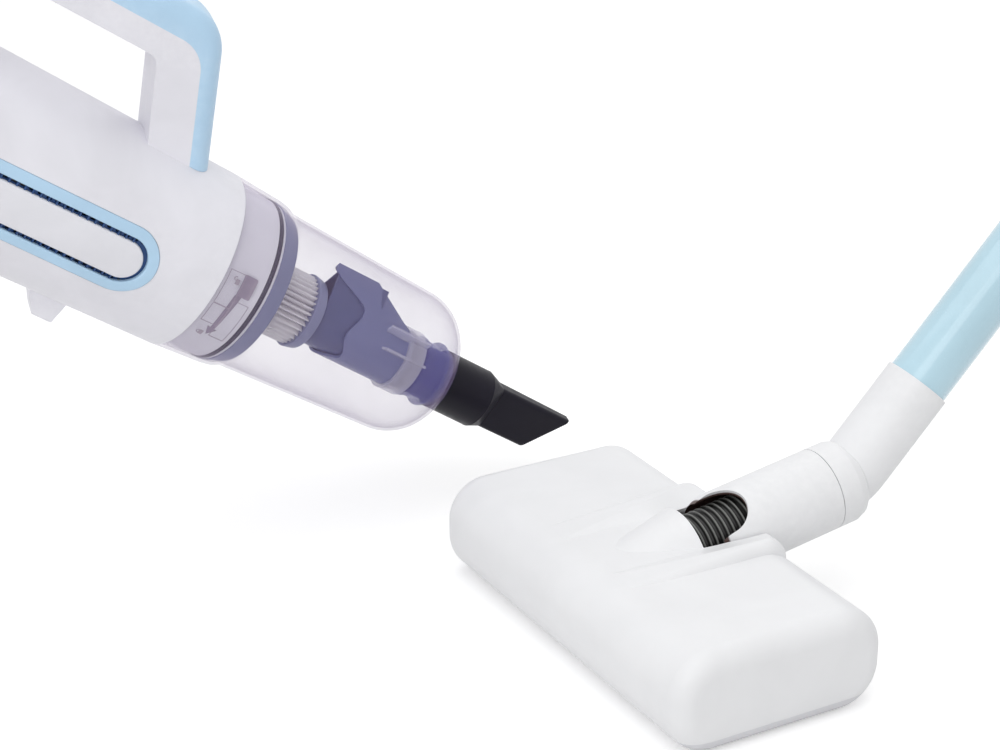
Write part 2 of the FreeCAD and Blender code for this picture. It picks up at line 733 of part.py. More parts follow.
def motor_can():
    body = rod(MOTOR_R, MOTOR_FROM, MOTOR_TO)
    body = body.cut(rod(BEARING_R + 0.1, MOTOR_TO - BEARING_LEN, MOTOR_TO + 1))
    body = body.cut(rod(BEARING_R + 0.1, MOTOR_FROM - 1, MOTOR_FROM + BEARING_LEN))
    return body.cut(rod(SHAFT_R + MOVE_GAP, MOTOR_FROM - 1, MOTOR_TO + 1))


def bearing(start):
    return ring(BEARING_R, SHAFT_R + RUN_GAP, start, start + BEARING_LEN)


def motor_cradle():
    x = MOTOR_FROM + 8
    rim_r = case_radius(x) - CASE_WALL - SHELL_GAP
    rim = ring(rim_r, rim_r - 3, x, x + 6)
    hub = ring(MOTOR_R + 4, MOTOR_R + SHELL_GAP, x, x + 6)
    arms = []
    for i in range(4):
        arm = block(x, x + 6, -3, 3, MOTOR_R + 3, rim_r - 2)
        arm.rotate(O, X, 45 + 90 * i)
        arms.append(arm)
    return joined([rim, hub] + arms).cut(grille_room())


def cell_places():
    turns = [2 * math.pi * i / CELLS for i in range(CELLS)]
    return [(CELL_RING_R * math.cos(t), CELL_RING_R * math.sin(t)) for t in turns]


def battery_cells():
    return Part.makeCompound([rod(CELL_R, CELLS_REAR, CELLS_REAR + CELL_LEN, y, z) for y, z in cell_places()])


def battery_holder():
    discs = []
    for start in (CELLS_REAR - 2, CELLS_REAR + CELL_LEN - 8):
        r = case_radius(start + 10) - CASE_WALL - SHELL_GAP - 0.2
        discs.append(rod(r, start, start + 10))
    bar = rod(9.0, CELLS_REAR, CELLS_REAR + CELL_LEN)
    holder = joined(discs + [bar])
    sockets = [rod(CELL_R + SHELL_GAP, CELLS_REAR, CELLS_REAR + CELL_LEN, y, z) for y, z in cell_places()]
    vents = []
    for i in range(CELLS):
        t = 2 * math.pi * (i + 0.5) / CELLS
        vents.append(rod(7.0, CELLS_REAR - 3, CELLS_REAR + CELL_LEN + 3, 40 * math.cos(t), 40 * math.sin(t)))
    return holder.cut(sockets + vents).cut(grille_room())


def control_board():
    rear = BOARD_X
    board = rod(BOARD_R, rear, rear + BOARD_T)
    top = rear + BOARD_T
    chips = [block(top, top + 3, y, y + 9, z, z + 7) for y, z in ((-20, -12), (4, -18), (-6, 8))]
    posts = []
    for side in (-1, 1):
        posts.append(rod(2.5, CELLS_REAR + CELL_LEN + 2, rear + 1, side * 24, 0))
    return joined([board] + chips + posts)


def power_button():
    cap = Part.makeCylinder(BUTTON_R, 8, Vector(BUTTON_X, 0, GRIP_TOP - 6.5), Z)
    rim = [e for e in cap.Edges if e.CenterOfMass.z > GRIP_TOP and e.Length > 20]
    cap = cap.makeFillet(1.2, rim)
    stem = Part.makeCylinder(2.5, GRIP_TOP - 6.5 - stem_foot(), Vector(BUTTON_X, 0, stem_foot()), Z)
    return cap.fuse(stem).removeSplitter()


def stem_foot():
    return GRIP_LINE + FIT_GAP + BUTTON_TRAVEL


def button_switch():
    half_w = GRIP_W / 2 - 4 - SHELL_GAP
    low, high = GRIP_IN + 3 + SHELL_GAP, GRIP_LINE - 2 - SHELL_GAP
    body = block(BUTTON_X - 7, BUTTON_X + 7, -half_w, half_w, low, high)
    plunger = Part.makeCylinder(2.0, 2.0, Vector(BUTTON_X, 0, high), Z)
    return body.fuse(plunger).removeSplitter()


# --- floor group: head -----------------------------------------------------------------------
def head_solid(inset):
    high = HEAD_HIGH - 2 * inset
    deep = HEAD_DEEP - 2 * inset
    long = HEAD_LEN - 2 * inset
    box = block(-long / 2, long / 2, -deep / 2, deep / 2, inset, inset + high)
    along = [e for e in box.Edges if abs(e.tangentAt(e.FirstParameter).x) > 0.9]
    box = box.makeFillet(HEAD_ROUND - inset, along)
    ends = [e for e in box.Edges if abs(abs(e.CenterOfMass.x) - long / 2) < 0.1]
    return box.makeFillet(HEAD_END_ROUND - inset, ends)


def hood_solid(grow):
    # raised cone that runs up to the neck
    start = NECK.multVec(Vector(-52, 0, 0))
    direction = NECK.Rotation.multVec(X)
    cone = Part.makeCone(13.5 + grow, NECK_R + 1.6 + grow, 80, start, direction)
    return cone.cut(block(-100, 100, HOOD_END, 120, -50, 150))


def tangent_arc(start, end, slope):
    # arc in the YZ plane that reaches its end at the given slope
    chord = end - start
    half = math.atan2(chord.z, chord.y) - slope
    bulge = chord.Length / 2 * math.tan(half / 2)
    outward = Vector(0, -chord.z, chord.y).normalize()
    return Part.Arc(start, start + chord / 2 + outward * bulge, end)


def front_height(y):
    # height of the head's surface over its front rounding
    back = y + HEAD_DEEP / 2 - HEAD_ROUND
    return HEAD_HIGH - HEAD_ROUND + math.sqrt(HEAD_ROUND ** 2 - back ** 2)


def saddle_solid():
    # rises from the head's front rounding to an ear round each end of the neck's pivot
    low = HEAD_HIGH - 22
    at = pivot_point()
    side = -SADDLE_W / 2
    start = Vector(side, SADDLE_FROM, front_height(SADDLE_FROM) - SHELL_GAP)
    knee = Vector(side, SADDLE_KNEE, HEAD_HIGH + KNEE_RISE)
    away = Vector(0, at.y - knee.y, at.z - knee.z)
    slope = math.atan2(away.z, away.y) + math.asin(EAR_R / away.Length)
    top = knee + Vector(0, math.cos(slope), math.sin(slope)) * math.sqrt(away.Length ** 2 - EAR_R ** 2)
    turn = (math.pi / 2 + slope) / 2
    bow = Vector(side, at.y + EAR_R * math.cos(turn), at.z + EAR_R * math.sin(turn))
    rear = Vector(side, at.y + EAR_R, at.z)
    heel = Vector(side, rear.y, low)
    toe = Vector(side, start.y, low)
    edges = [tangent_arc(start, knee, slope).toShape(), Part.LineSegment(knee, top).toShape()]
    edges += [Part.Arc(top, bow, rear).toShape()]
    edges += [Part.LineSegment(a, b).toShape() for a, b in ((rear, heel), (heel, toe), (toe, start))]
    body = Part.Face(Part.Wire(edges)).extrude(X * SADDLE_W)
    rims = [e for e in body.Edges if abs(abs(e.CenterOfMass.x) + side) < 0.1 and e.CenterOfMass.z > at.z + 1]
    body = body.makeFillet(SADDLE_ROUND, rims)
    valley_edge = NECK_R - 1.4
    middle = HEAD_HIGH + math.sqrt(VALLEY_R ** 2 - valley_edge ** 2)
    return body.cut(Part.makeCylinder(VALLEY_R, 200, Vector(0, -100, middle), Y))


def pivot_point():
    return NECK.multVec(Vector(PIVOT_S, 0, 0))


def neck_room(grow):
    # all the space that the neck sweeps as it pitches
    at = pivot_point()
    along = NECK.Rotation.multVec(X)
    mouth_s = HOOD_END / math.cos(math.radians(NECK_RISE))
    open_end = NECK.multVec(Vector(mouth_s, 0, 0))
    shapes = [Part.makeSphere(NECK_R + grow, at)]
    shapes.append(Part.makeCylinder(NECK_R + grow, PIVOT_S - mouth_s, open_end, along))
    for rise in range(-2, 92, 10):
        angle = math.radians(NECK_RISE + rise)
        direction = Vector(0, math.cos(angle), math.sin(angle))
        shapes.append(Part.makeCylinder(NECK_R + grow, 120, at, direction))
    return shapes


def cylinder_x(radius, at, x0, x1):
    return Part.makeCylinder(radius, x1 - x0, Vector(x0, at.y, at.z), X)


def head_whole():
    shell = head_solid(0)
    inner = head_solid(HEAD_WALL)
    raised = saddle_solid().fuse(hood_solid(0))
    hollow = inner.fuse(hood_solid(-HEAD_WALL - 0.4))
    body = shell.fuse(raised).cut(hollow)
    cheeks = [
        block(x - CHEEK_T / 2, x + CHEEK_T / 2, 34, HEAD_DEEP / 2 - 4, BASE_SPLIT, HEAD_HIGH - 1)
        for x in (-CHEEK_X, CHEEK_X)
    ]
    body = body.fuse([c.common(head_solid(0.5)) for c in cheeks])
    body = body.cut(neck_room(MOVE_GAP + 0.4))
    mouth = Part.makeCylinder(HOSE_R + 0.6, 46, NECK.multVec(Vector(-16, 0, 0)), NECK.Rotation.multVec(X))
    body = body.cut(mouth)
    return body.cut(pin_room())


def pin_room():
    at = pivot_point()
    far = PIN_OUT + 0.5
    return [cylinder_x(PIVOT_R, at, 20, far), cylinder_x(PIVOT_R, at, -far, -20)]


def head_top():
    keep = block(-HEAD_LEN, HEAD_LEN, -HEAD_DEEP, HEAD_DEEP, BASE_SPLIT, 200)
    return largest(head_whole().common(keep))


def head_base():
    tray = head_solid(0).cut(head_solid(HEAD_WALL))
    low = SOLE_CLEAR + SOLE_T + SHELL_GAP
    tray = tray.common(block(-HEAD_LEN, HEAD_LEN, -HEAD_DEEP, HEAD_DEEP, low, BASE_SPLIT))
    floor = head_solid(0.4).common(block(-HEAD_LEN, HEAD_LEN, -HEAD_DEEP, HEAD_DEEP, low, low + TRAY_T))
    tray = tray.fuse(floor)
    tray = tray.cut(block(-MOUTH_LEN / 2, MOUTH_LEN / 2, mouth_low(), mouth_high(), -1, 40))
    for x, y in wheel_places():
        tray = tray.cut(wheel_pocket(x, y))
    for x, y in wheel_places():
        tray = tray.fuse(axle_posts(x, y))
    for x, y in head_screw_places():
        tray = tray.cut(Part.makeCylinder(SCREW_R + 0.1, 40, Vector(x, y, -1), Z))
    return largest(tray.removeSplitter())


def mouth_low():
    return MOUTH_Y - MOUTH_DEEP / 2


def mouth_high():
    return MOUTH_Y + MOUTH_DEEP / 2


def sole_plate():
    layer = block(-HEAD_LEN, HEAD_LEN, -HEAD_DEEP, HEAD_DEEP, SOLE_CLEAR, SOLE_CLEAR + SOLE_T)
    foot = head_solid(0).common(layer)
    foot = foot.cut(block(-MOUTH_LEN / 2, MOUTH_LEN / 2, mouth_low(), mouth_high(), -1, 40))
    for x, y in wheel_places():
        foot = foot.cut(wheel_pocket(x, y))
    for x, y in head_screw_places():
        foot = foot.cut(Part.makeCylinder(SCREW_HEAD_R + 0.1, 40, Vector(x, y, -1), Z))
    for y in lint_rows():
        foot = foot.cut(block(-MOUTH_LEN / 2, MOUTH_LEN / 2, y - 3, y + 3, SOLE_CLEAR - 1, SOLE_CLEAR + 1))
    return foot


def lint_rows():
    return (mouth_low() - 6, mouth_high() + 6)


def lint_strips():
    half_len = MOUTH_LEN / 2 - SHELL_GAP
    rows = [
        block(-half_len, half_len, y - 3 + SHELL_GAP, y + 3 - SHELL_GAP, SOLE_CLEAR - 0.8, SOLE_CLEAR + 1)
        for y in lint_rows()
    ]
    return Part.makeCompound(rows)


def wheel_places():
    return [(side * WHEEL_X, y) for y in (REAR_WHEEL_Y, FRONT_WHEEL_Y) for side in (-1, 1)]


def wheel_pocket(x, y):
    room = WHEEL_R + 1.2
    half_w = WHEEL_W / 2 + WHEEL_GAP
    return block(x - half_w, x + half_w, y - room, y + room, -1, 14)


def axle_posts(x, y):
    posts = []
    for side in (-1, 1):
        inner = x + side * (WHEEL_W / 2 + WHEEL_GAP)
        low, high = min(inner, inner + side * POST_T), max(inner, inner + side * POST_T)
        posts.append(block(low, high, y - 5, y + 5, SOLE_CLEAR + SOLE_T + SHELL_GAP, WHEEL_R + 4))
    posts = joined(posts)
    return posts.cut(Part.makeCylinder(AXLE_R + 0.02, 40, Vector(x - 20, y, WHEEL_R), X))


def wheel(x, y):
    tread = Part.makeCylinder(WHEEL_R, WHEEL_W, Vector(x - WHEEL_W / 2, y, WHEEL_R), X)
    rims = [e for e in tread.Edges if e.Length > 2 * math.pi * (WHEEL_R - 1)]
    tread = tread.makeFillet(1.5, rims)
    return tread.cut(Part.makeCylinder(AXLE_R + RUN_GAP, 40, Vector(x - 20, y, WHEEL_R), X))


def axle(x, y):
    reach = WHEEL_W / 2 + WHEEL_GAP + POST_T
    return Part.makeCylinder(AXLE_R, 2 * reach, Vector(x - reach, y, WHEEL_R), X)


def suction_duct():
    # channel from the mouth to the hood
    low = SOLE_CLEAR + SOLE_T + TRAY_T + 2 * SHELL_GAP
    wide, skin = MOUTH_LEN / 2, SUCTION_WALL
    outer = block(-wide - skin, wide + skin, mouth_low() - skin, mouth_high() + skin, low, low + CHANNEL_HIGH)
    inner = block(-wide, wide, mouth_low(), mouth_high(), low - 1, low + CHANNEL_HIGH - skin)
    start = NECK.multVec(Vector(-36, 0, 0))
    along = NECK.Rotation.multVec(X)
    pipe = Part.makeCylinder(HOSE_R - HOSE_WALL - HOSE_RIB - SHELL_GAP, 34, start, along)
    bore = Part.makeCylinder(HOSE_R - HOSE_WALL - HOSE_RIB - 1.8, 60, start - along * 6, along)
    tower = block(-17, 17, mouth_low() - skin, mouth_high() + skin, low + 2, NECK_HEIGHT + 8)
    hollow = block(-14, 14, mouth_low(), mouth_high(), low, NECK_HEIGHT + 5)
    return outer.fuse([tower, pipe]).cut([inner, hollow, bore]).removeSplitter()


def head_screw_places():
    return [(-108, MOUTH_Y), (108, MOUTH_Y), (-50, REAR_WHEEL_Y), (50, REAR_WHEEL_Y)]


def head_screws():
    screws = []
    for x, y in head_screw_places():
        head = Part.makeCylinder(SCREW_HEAD_R, 1.6, Vector(x, y, SOLE_CLEAR + 0.2), Z)
        shank = Part.makeCylinder(SCREW_R, 9, Vector(x, y, SOLE_CLEAR + 1.6), Z)
        screws.append(head.fuse(shank).removeSplitter())
    return Part.makeCompound(screws)


def pivot_pins():
    at = pivot_point()
    inner = NECK_R - NECK_WALL + 0.5
    spans = ((inner, PIN_OUT), (-PIN_OUT, -inner))
    return Part.makeCompound([cylinder_x(PIVOT_R - RUN_GAP, at, a, b) for a, b in spans])


# --- floor group: neck, elbow, wand, hose (each along its own x axis) -----------------------------
def neck():
    outer = rod(NECK_R, PIVOT_S, NECK_END).fuse(Part.makeSphere(NECK_R, Vector(PIVOT_S, 0, 0)))
    bore = rod(NECK_R - NECK_WALL, 0, NECK_END + 1)
    body = outer.cut(bore)
    body = body.cut(neck_window())
    room = block(0, PIVOT_S + 4, -NECK_R + 5.5, NECK_R - 5.5, -60, 2)
    body = body.cut(room)
    pins = Part.makeCylinder(PIVOT_R + 0.02, 80, Vector(PIVOT_S, -40, 0), Y)
    return largest(body.cut(pins).removeSplitter())


def neck_window():
    half_w = WINDOW_W / 2
    bar = block(0, WINDOW_TO - half_w, -half_w, half_w, 0, 60)
    tip = Part.makeCylinder(half_w, 60, Vector(WINDOW_TO - half_w, 0, 0), Z)
    cut = bar.fuse(tip)
    cut.rotate(O, X, WINDOW_TURN)
    return cut


def swivel_collar():
    tube = spun([
        (NECK_END + MOVE_GAP, ELBOW_R),
        (NECK_END + MOVE_GAP, NECK_R),
        (COLLAR_END - 6, NECK_R),
        (COLLAR_END - 1.5, NECK_R - 1.5),
        (COLLAR_END, NECK_R - 3),
        (COLLAR_END, ELBOW_R),
    ])
    return tube.cut(elbow_outer(SHELL_GAP))


def elbow_path(start, end):
    # in the elbow's frame: along -x to the neck, and bent up to the wand
    bend = math.radians(ELBOW_BEND)
    reach = BEND_R * math.tan(bend / 2)
    along = Vector(math.cos(bend), 0, math.sin(bend))
    a = Vector(-reach, 0, 0)
    b = along * reach
    centre = Vector(-reach, 0, BEND_R)
    middle = centre + Vector(math.sin(bend / 2), 0, -math.cos(bend / 2)) * BEND_R
    edges = [
        Part.LineSegment(Vector(start, 0, 0), a).toShape(),
        Part.Arc(a, middle, b).toShape(),
        Part.LineSegment(b, along * end).toShape(),
    ]
    return Part.Wire(edges)


def bent_rod(radius, start, end):
    circle = Part.Wire(Part.makeCircle(radius, Vector(start, 0, 0), X))
    return elbow_path(start, end).makePipeShell([circle], True, True)


def elbow_outer(grow):
    shape = bent_rod(ELBOW_R + grow, NECK_END - BEND_S, SOCKET_RIM)
    shape.Placement = Placement(Vector(BEND_S, 0, 0), Rotation(X, ELBOW_SWIVEL))
    return shape


def elbow():
    start = NECK_END - BEND_S
    body = bent_rod(ELBOW_R, start, SOCKET_RIM)
    spigot = rod(NECK_R - NECK_WALL - RUN_GAP, start - 15, start + MOVE_GAP - SHELL_GAP)
    body = body.fuse(spigot)
    body = body.cut(bent_rod(WAND_R - WAND_WALL, start - 16, SOCKET_RIM + 1))
    socket = rod(WAND_R + RUN_GAP, SOCKET_RIM - SOCKET_DEEP, SOCKET_RIM + 1)
    socket.rotate(O, Y, -ELBOW_BEND)
    return body.cut(socket)


def wand_tube():
    start = SOCKET_RIM - SOCKET_DEEP + 0.4
    return ring(WAND_R, WAND_R - WAND_WALL, start, start + WAND_LEN)


def wand_top():
    # cuff and spigot that go into the cup's inlet
    start = SOCKET_RIM - SOCKET_DEEP + 0.4 + WAND_LEN
    cuff = rod(WAND_CUFF_R, start - WAND_CUFF_LEN, start + 4)
    cuff = cuff.cut(rod(WAND_R + SHELL_GAP, start - WAND_CUFF_LEN - 1, start))
    spigot = rod(INLET_R - RUN_GAP, start + 2, start + 4 + SPIGOT_IN)
    bore = rod(INLET_R - RUN_GAP - 1.6, start - 2, start + 6 + SPIGOT_IN)
    return cuff.fuse(spigot).cut(bore).removeSplitter()


def ribbed_hose(start, end):
    profile = [(start, HOSE_R - HOSE_WALL - HOSE_RIB)]
    count = int((end - start) / HOSE_PITCH)
    pitch = (end - start) / count
    for i in range(count):
        x = start + i * pitch
        profile += [(x, HOSE_R - HOSE_RIB), (x + pitch * 0.25, HOSE_R), (x + pitch * 0.6, HOSE_R),
                    (x + pitch * 0.85, HOSE_R - HOSE_RIB)]
    profile += [(end, HOSE_R - HOSE_RIB), (end, HOSE_R - HOSE_WALL - HOSE_RIB)]
    return spun(profile)


def hose_head():
    # starts clear of the upright duct behind the mouth
    rise = math.radians(NECK_RISE)
    start = (mouth_high() + SUCTION_WALL + SHELL_GAP + HOSE_R * math.sin(rise)) / math.cos(rise)
    return ribbed_hose(start, HOOD_END)


def hose_neck():
    return ribbed_hose(PIVOT_S - HOSE_BACK, NECK_END - HOSE_STOP)


def hose_cuff():
    end = NECK_END - HOSE_STOP
    return ring(NECK_R - NECK_WALL - SHELL_GAP, HOSE_R + 0.1, end - CUFF_LEN, end)


# --- everything, node by node --------------------------------------------------------------------
def hand_nodes():
    whole = case_whole()
    nodes = {
        "case_right": half(whole, -1),
        "case_left": half(whole, 1),
        "handle_trim": handle_trim(),
        "rear_cap": rear_cap(),
        "charge_socket": charge_socket(),
        "exhaust_filter": exhaust_filter(),
        "rest_foot": rest_foot(),
        "case_screws": case_screws(),
        "front_spigot": front_spigot(),
        "seal_ring": seal_ring(),
        "seal_band": seal_band(),
        "filter_frame": filter_frame(),
        "filter_media": filter_media(),
        "filter_cap": filter_cap(),
        "dust_cup": dust_cup(),
        "inlet_collar": inlet_collar(),
        "inlet_duct": inlet_duct(),
        "cup_ribs": cup_ribs(),
        "crevice_nozzle": crevice_nozzle(),
        "motor_bulkhead": motor_bulkhead(),
        "fan_cover": fan_cover(),
        "impeller": impeller(),
        "motor_shaft": motor_shaft(),
        "motor_can": motor_can(),
        "bearing_front": bearing(MOTOR_TO - BEARING_LEN),
        "bearing_rear": bearing(MOTOR_FROM),
        "motor_cradle": motor_cradle(),
        "battery_cells": battery_cells(),
        "battery_holder": battery_holder(),
        "control_board": control_board(),
        "power_button": power_button(),
        "button_switch": button_switch(),
    }
    for name, side in (("right", -1), ("left", 1)):
        nodes["vent_bezel_" + name] = bezel(side)
        nodes["vent_panel_" + name] = vent_panel(side)
        nodes["vent_grille_" + name] = vent_grille(side)
    return nodes


def neck_nodes():
    return {
        "neck": neck(),
        "swivel_collar": swivel_collar(),
        "hose_head": hose_head(),
        "hose_neck": hose_neck(),
        "hose_cuff": hose_cuff(),
    }


def head_nodes():
    nodes = {
        "head_top": head_top(),
        "head_base": head_base(),
        "sole_plate": sole_plate(),
        "lint_strips": lint_strips(),
        "suction_duct": suction_duct(),
        "head_screws": head_screws(),
        "pivot_pins": pivot_pins(),
    }
    names = ("rear_left", "rear_right", "front_left", "front_right")
    for name, (x, y) in zip(names, wheel_places()):
        nodes["wheel_" + name] = wheel(x, y)
    nodes["wheel_axles"] = Part.makeCompound([axle(x, y) for x, y in wheel_places()])
    return nodes


def write(nodes, frame):
    for name, shape in nodes.items():
        placed = shape.copy()
        placed.Placement = frame.multiply(placed.Placement)
        placed.exportStep("parts/" + name + ".step")
        print(name, len(placed.Solids), round(placed.Volume / 1000, 2), placed.isValid())


def main():
    os.makedirs("parts", exist_ok=True)
    write(hand_nodes(), HAND)
    write(neck_nodes(), NECK)
    write({"elbow": elbow()}, ELBOW)
    write({"wand_tube": wand_tube(), "wand_top": wand_top()}, WAND)
    write(head_nodes(), FLOOR)


main()
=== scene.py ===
import json
import math

import bmesh
import bpy
from bpy.props import FloatProperty, FloatVectorProperty, IntProperty, PointerProperty
from mathutils import Matrix, Vector


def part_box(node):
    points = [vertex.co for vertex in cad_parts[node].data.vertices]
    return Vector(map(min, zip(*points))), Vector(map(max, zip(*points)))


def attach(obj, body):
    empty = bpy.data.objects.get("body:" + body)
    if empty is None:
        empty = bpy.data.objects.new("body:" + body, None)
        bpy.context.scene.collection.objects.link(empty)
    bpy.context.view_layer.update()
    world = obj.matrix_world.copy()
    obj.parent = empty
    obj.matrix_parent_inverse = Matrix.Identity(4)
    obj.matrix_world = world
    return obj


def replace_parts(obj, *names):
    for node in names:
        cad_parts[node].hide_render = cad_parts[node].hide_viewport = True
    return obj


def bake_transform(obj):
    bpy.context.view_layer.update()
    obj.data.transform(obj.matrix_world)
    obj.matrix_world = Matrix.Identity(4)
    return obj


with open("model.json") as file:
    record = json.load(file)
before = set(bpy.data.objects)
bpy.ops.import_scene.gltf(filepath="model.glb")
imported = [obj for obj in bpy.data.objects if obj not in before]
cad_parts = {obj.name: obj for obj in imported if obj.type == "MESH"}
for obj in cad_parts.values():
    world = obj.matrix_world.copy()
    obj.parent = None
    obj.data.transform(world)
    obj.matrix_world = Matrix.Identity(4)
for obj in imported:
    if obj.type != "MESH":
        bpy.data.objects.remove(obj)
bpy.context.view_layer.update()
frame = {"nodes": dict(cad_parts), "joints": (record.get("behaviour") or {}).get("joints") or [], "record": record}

bl_info = {
    "name": "Cordless Stick Vacuum",
    "version": (1, 0, 0),
    "blender": (4, 5, 0),
    "location": "3D View > Sidebar > Vacuum",
    "description": "Finishes and detailed pieces of a cordless stick vacuum, on its packed construction",
    "category": "Object",
}

FULL_TURN = 2 * math.pi
ROUND_STEPS = 96
MERGE = 1e-7                 # metres, nearer points are one
CASE_LENGTH = 0.200          # tapered part of the motor case
MARK_HEIGHT = 0.00025        # raised marks on the collar
SLEEVE_START = 0.1555        # the inlet collar is tinted from here on
SLEEVE_COVER = 0.36          # how much more that sleeve covers than clear plastic
EDGE_POWER = 4.0             # how fast a clear wall's tint gathers towards its edge
BAFFLE_START = 0.0022        # from the duct's rear end to the rear edge of the sheet inside it
BAFFLE_END = 0.118           # front edge of that sheet, from the seam
MARK_RADIUS = 0.053          # arcs of the marks are measured at this radius
NECK_BORE = 0.0225           # what lies nearer the neck's axis gets painted shade, tinted brown
STRIP_WIDTH = 0.0056         # each lint strip, from front to back
LIGHT_REACH = 0.006          # how far light goes through paper
FLOOR_GLOW = 0.38            # what the floor adds of its own, so that it ends white
RIB_HEIGHT = "rib_height"    # mesh attribute, 0 between the hose's ribs and 1 on them
CREASE = math.radians(35)    # sharper edges stay crisp


# --- where things are: each group's own frame, read from the joints and the nodes -----------------

def joint(name):
    return next(j for j in frame["joints"] if j["name"] == name)


def axis_of(name):
    return Vector(joint(name)["axis"]).normalized()


def points_of(node):
    return [v.co for v in frame["nodes"][node].data.vertices]


def middle_of(node):
    points = points_of(node)
    return sum(points, Vector()) / len(points)


def group_frame(origin, forward, up):
    """A frame with x forward and z as near to up as it can be."""
    x = forward.normalized()
    z = (up - up.dot(x) * x).normalized()
    turned_frame = Matrix((x, z.cross(x), z)).transposed().to_4x4()
    return Matrix.Translation(origin) @ turned_frame


def seam_point():
    """Where the hand unit's axis meets the joint between the case and the dust cup."""
    start = Vector(joint("rotor_spin")["pos_m"])
    along = axis_of("rotor_spin")
    reach = max((p - start).dot(along) for p in points_of("case_right"))
    return start + reach * along


HAND = group_frame(seam_point(), axis_of("rotor_spin"), -axis_of("button_press"))
NECK = group_frame(Vector(joint("neck_pitch")["pos_m"]), axis_of("elbow_swivel"), Vector((0, 0, 1)))
FLOOR = Matrix.Identity(4)


def span(node, place):
    """Lowest and highest corner of a node in a group's frame."""
    inverse = place.inverted()
    local = [inverse @ p for p in points_of(node)]
    low = Vector([min(p[i] for p in local) for i in range(3)])
    high = Vector([max(p[i] for p in local) for i in range(3)])
    return low, high


SEAM_RADIUS = span("dust_cup", HAND)[1].y
REAR_RADIUS = span("rear_cap", HAND)[1].y


def case_radius(x):
    return SEAM_RADIUS + (REAR_RADIUS - SEAM_RADIUS) * -x / CASE_LENGTH


# --- what a user can change -----------------------------------------------------------------------

def length_value(name, description, default):
    return FloatProperty(
        name=name, description=description, default=default, min=0.0, unit="LENGTH", precision=5
    )


def colour_value(name, description, default):
    return FloatVectorProperty(
        name=name, description=description, default=default, subtype="COLOR", size=3, min=0.0, max=1.0
    )


def light_value(name, description, default):
    return FloatProperty(name=name, description=description, default=default, min=0.0)


class CupSettings(bpy.types.PropertyGroup):
    wall: length_value("Wall", "Thickness of the clear shell", 0.0016)
    step_radius: length_value("Step radius", "Outer radius just past the sealing band", 0.0490)
    front_radius: length_value("Front radius", "Outer radius where the nose starts", 0.0450)
    nose: length_value("Nose rounding", "Radius of the rounded nose", 0.0300)
    collar: length_value("Collar length", "Length of the wider collar that takes the seal", 0.0310)
    collar_step: length_value("Collar step", "How much narrower the collar's end is than its lip", 0.0017)
    rim: length_value("Inlet rim", "Height of the rim round the inlet collar", 0.0024)
    spigot_gap: length_value("Spigot gap", "From the cup's lip in to the case's spigot", 0.0045)
    lug: length_value("Lug height", "How far the locking lugs stand off the spigot", 0.0013)
    step: length_value("Step length", "Length of the step behind the body", 0.0105)


class DuctSettings(bpy.types.PropertyGroup):
    wall: length_value("Wall", "Thickness of the duct", 0.0016)
    roof: length_value("Roof height", "Ridge of the duct above its axis", 0.0375)
    roof_end: length_value("Roof end", "Where the ridge starts to fall", 0.1090)
    baffle_gap: length_value("Baffle gap", "From the duct's wall in to the baffle", 0.0022)


class FilterSettings(bpy.types.PropertyGroup):
    pleats: IntProperty(name="Pleats", description="Folds round the filter", default=36, min=8, max=90)
    fold: length_value("Fold depth", "Depth of each pleat", 0.0058)
    cap: length_value("Cap length", "Length of the end cap", 0.0072)
    cap_round: length_value("Cap rounding", "Rounding of the end cap's edges", 0.0010)


class VentSettings(bpy.types.PropertyGroup):
    length: length_value("Length", "Length of the opening in the case", 0.1516)
    width: length_value("Width", "Width of the opening in the case", 0.0406)
    bezel: length_value("Bezel width", "Width of the coloured frame", 0.0065)
    slit: length_value("Slit", "Gap between the frame and the panel", 0.0026)
    proud: length_value("Proud", "How far the frame stands out of the case", 0.0008)
    ticks: IntProperty(
        name="Ticks", description="Small bars across each long slit", default=24, min=0, max=80
    )


class HoseSettings(bpy.types.PropertyGroup):
    radius: length_value("Radius", "Outer radius of the ribs", 0.0178)
    rib: length_value("Rib height", "Height of the ribs", 0.0017)
    pitch: length_value("Pitch", "Distance from rib to rib", 0.0040)
    wall: length_value("Wall", "Thickness between the ribs", 0.0010)
    bend: length_value("Bend", "Length on each side of the pivot that bends", 0.0260)


class PileSettings(bpy.types.PropertyGroup):
    spacing: length_value("Spacing", "Distance from tuft to tuft", 0.0022)
    rows: IntProperty(name="Rows", description="Rows of tufts in each strip", default=3, min=1, max=6)


class ColourSettings(bpy.types.PropertyGroup):
    case: colour_value("Case", "Motor case and handle", (0.785, 0.778, 0.830))
    panel: colour_value("Panel", "Plates of the side vents", (0.770, 0.768, 0.815))
    trim: colour_value("Trim", "Handle trim and vent frames", (0.465, 0.665, 0.850))
    wand: colour_value("Wand", "Paint of the wand", (0.455, 0.660, 0.760))
    head: colour_value("Head", "Floor head, neck and elbow", (0.815, 0.818, 0.832))
    band: colour_value("Band", "Sealing band and filter cap", (0.215, 0.235, 0.370))
    nozzle: colour_value("Nozzle", "Crevice nozzle", (0.0048, 0.0036, 0.0100))
    duct: colour_value("Duct", "Smoky duct in the dust cup", (0.165, 0.188, 0.360))
    baffle: colour_value("Baffle", "Darker sheet inside the duct", (0.070, 0.088, 0.205))
    inlet: colour_value("Inlet", "Tinted sleeve of the inlet collar", (0.100, 0.115, 0.430))
    shell: colour_value("Shell", "Tint of the clear dust cup", (0.380, 0.290, 0.500))
    mark: colour_value("Marks", "Turning arrow and outlines on the collar", (0.330, 0.280, 0.350))
    # colour of the painted shade inside the neck's bore, tinted brown
    bore_shade: colour_value("Neck bore", "Painted shade inside the neck", (0.085, 0.050, 0.045))


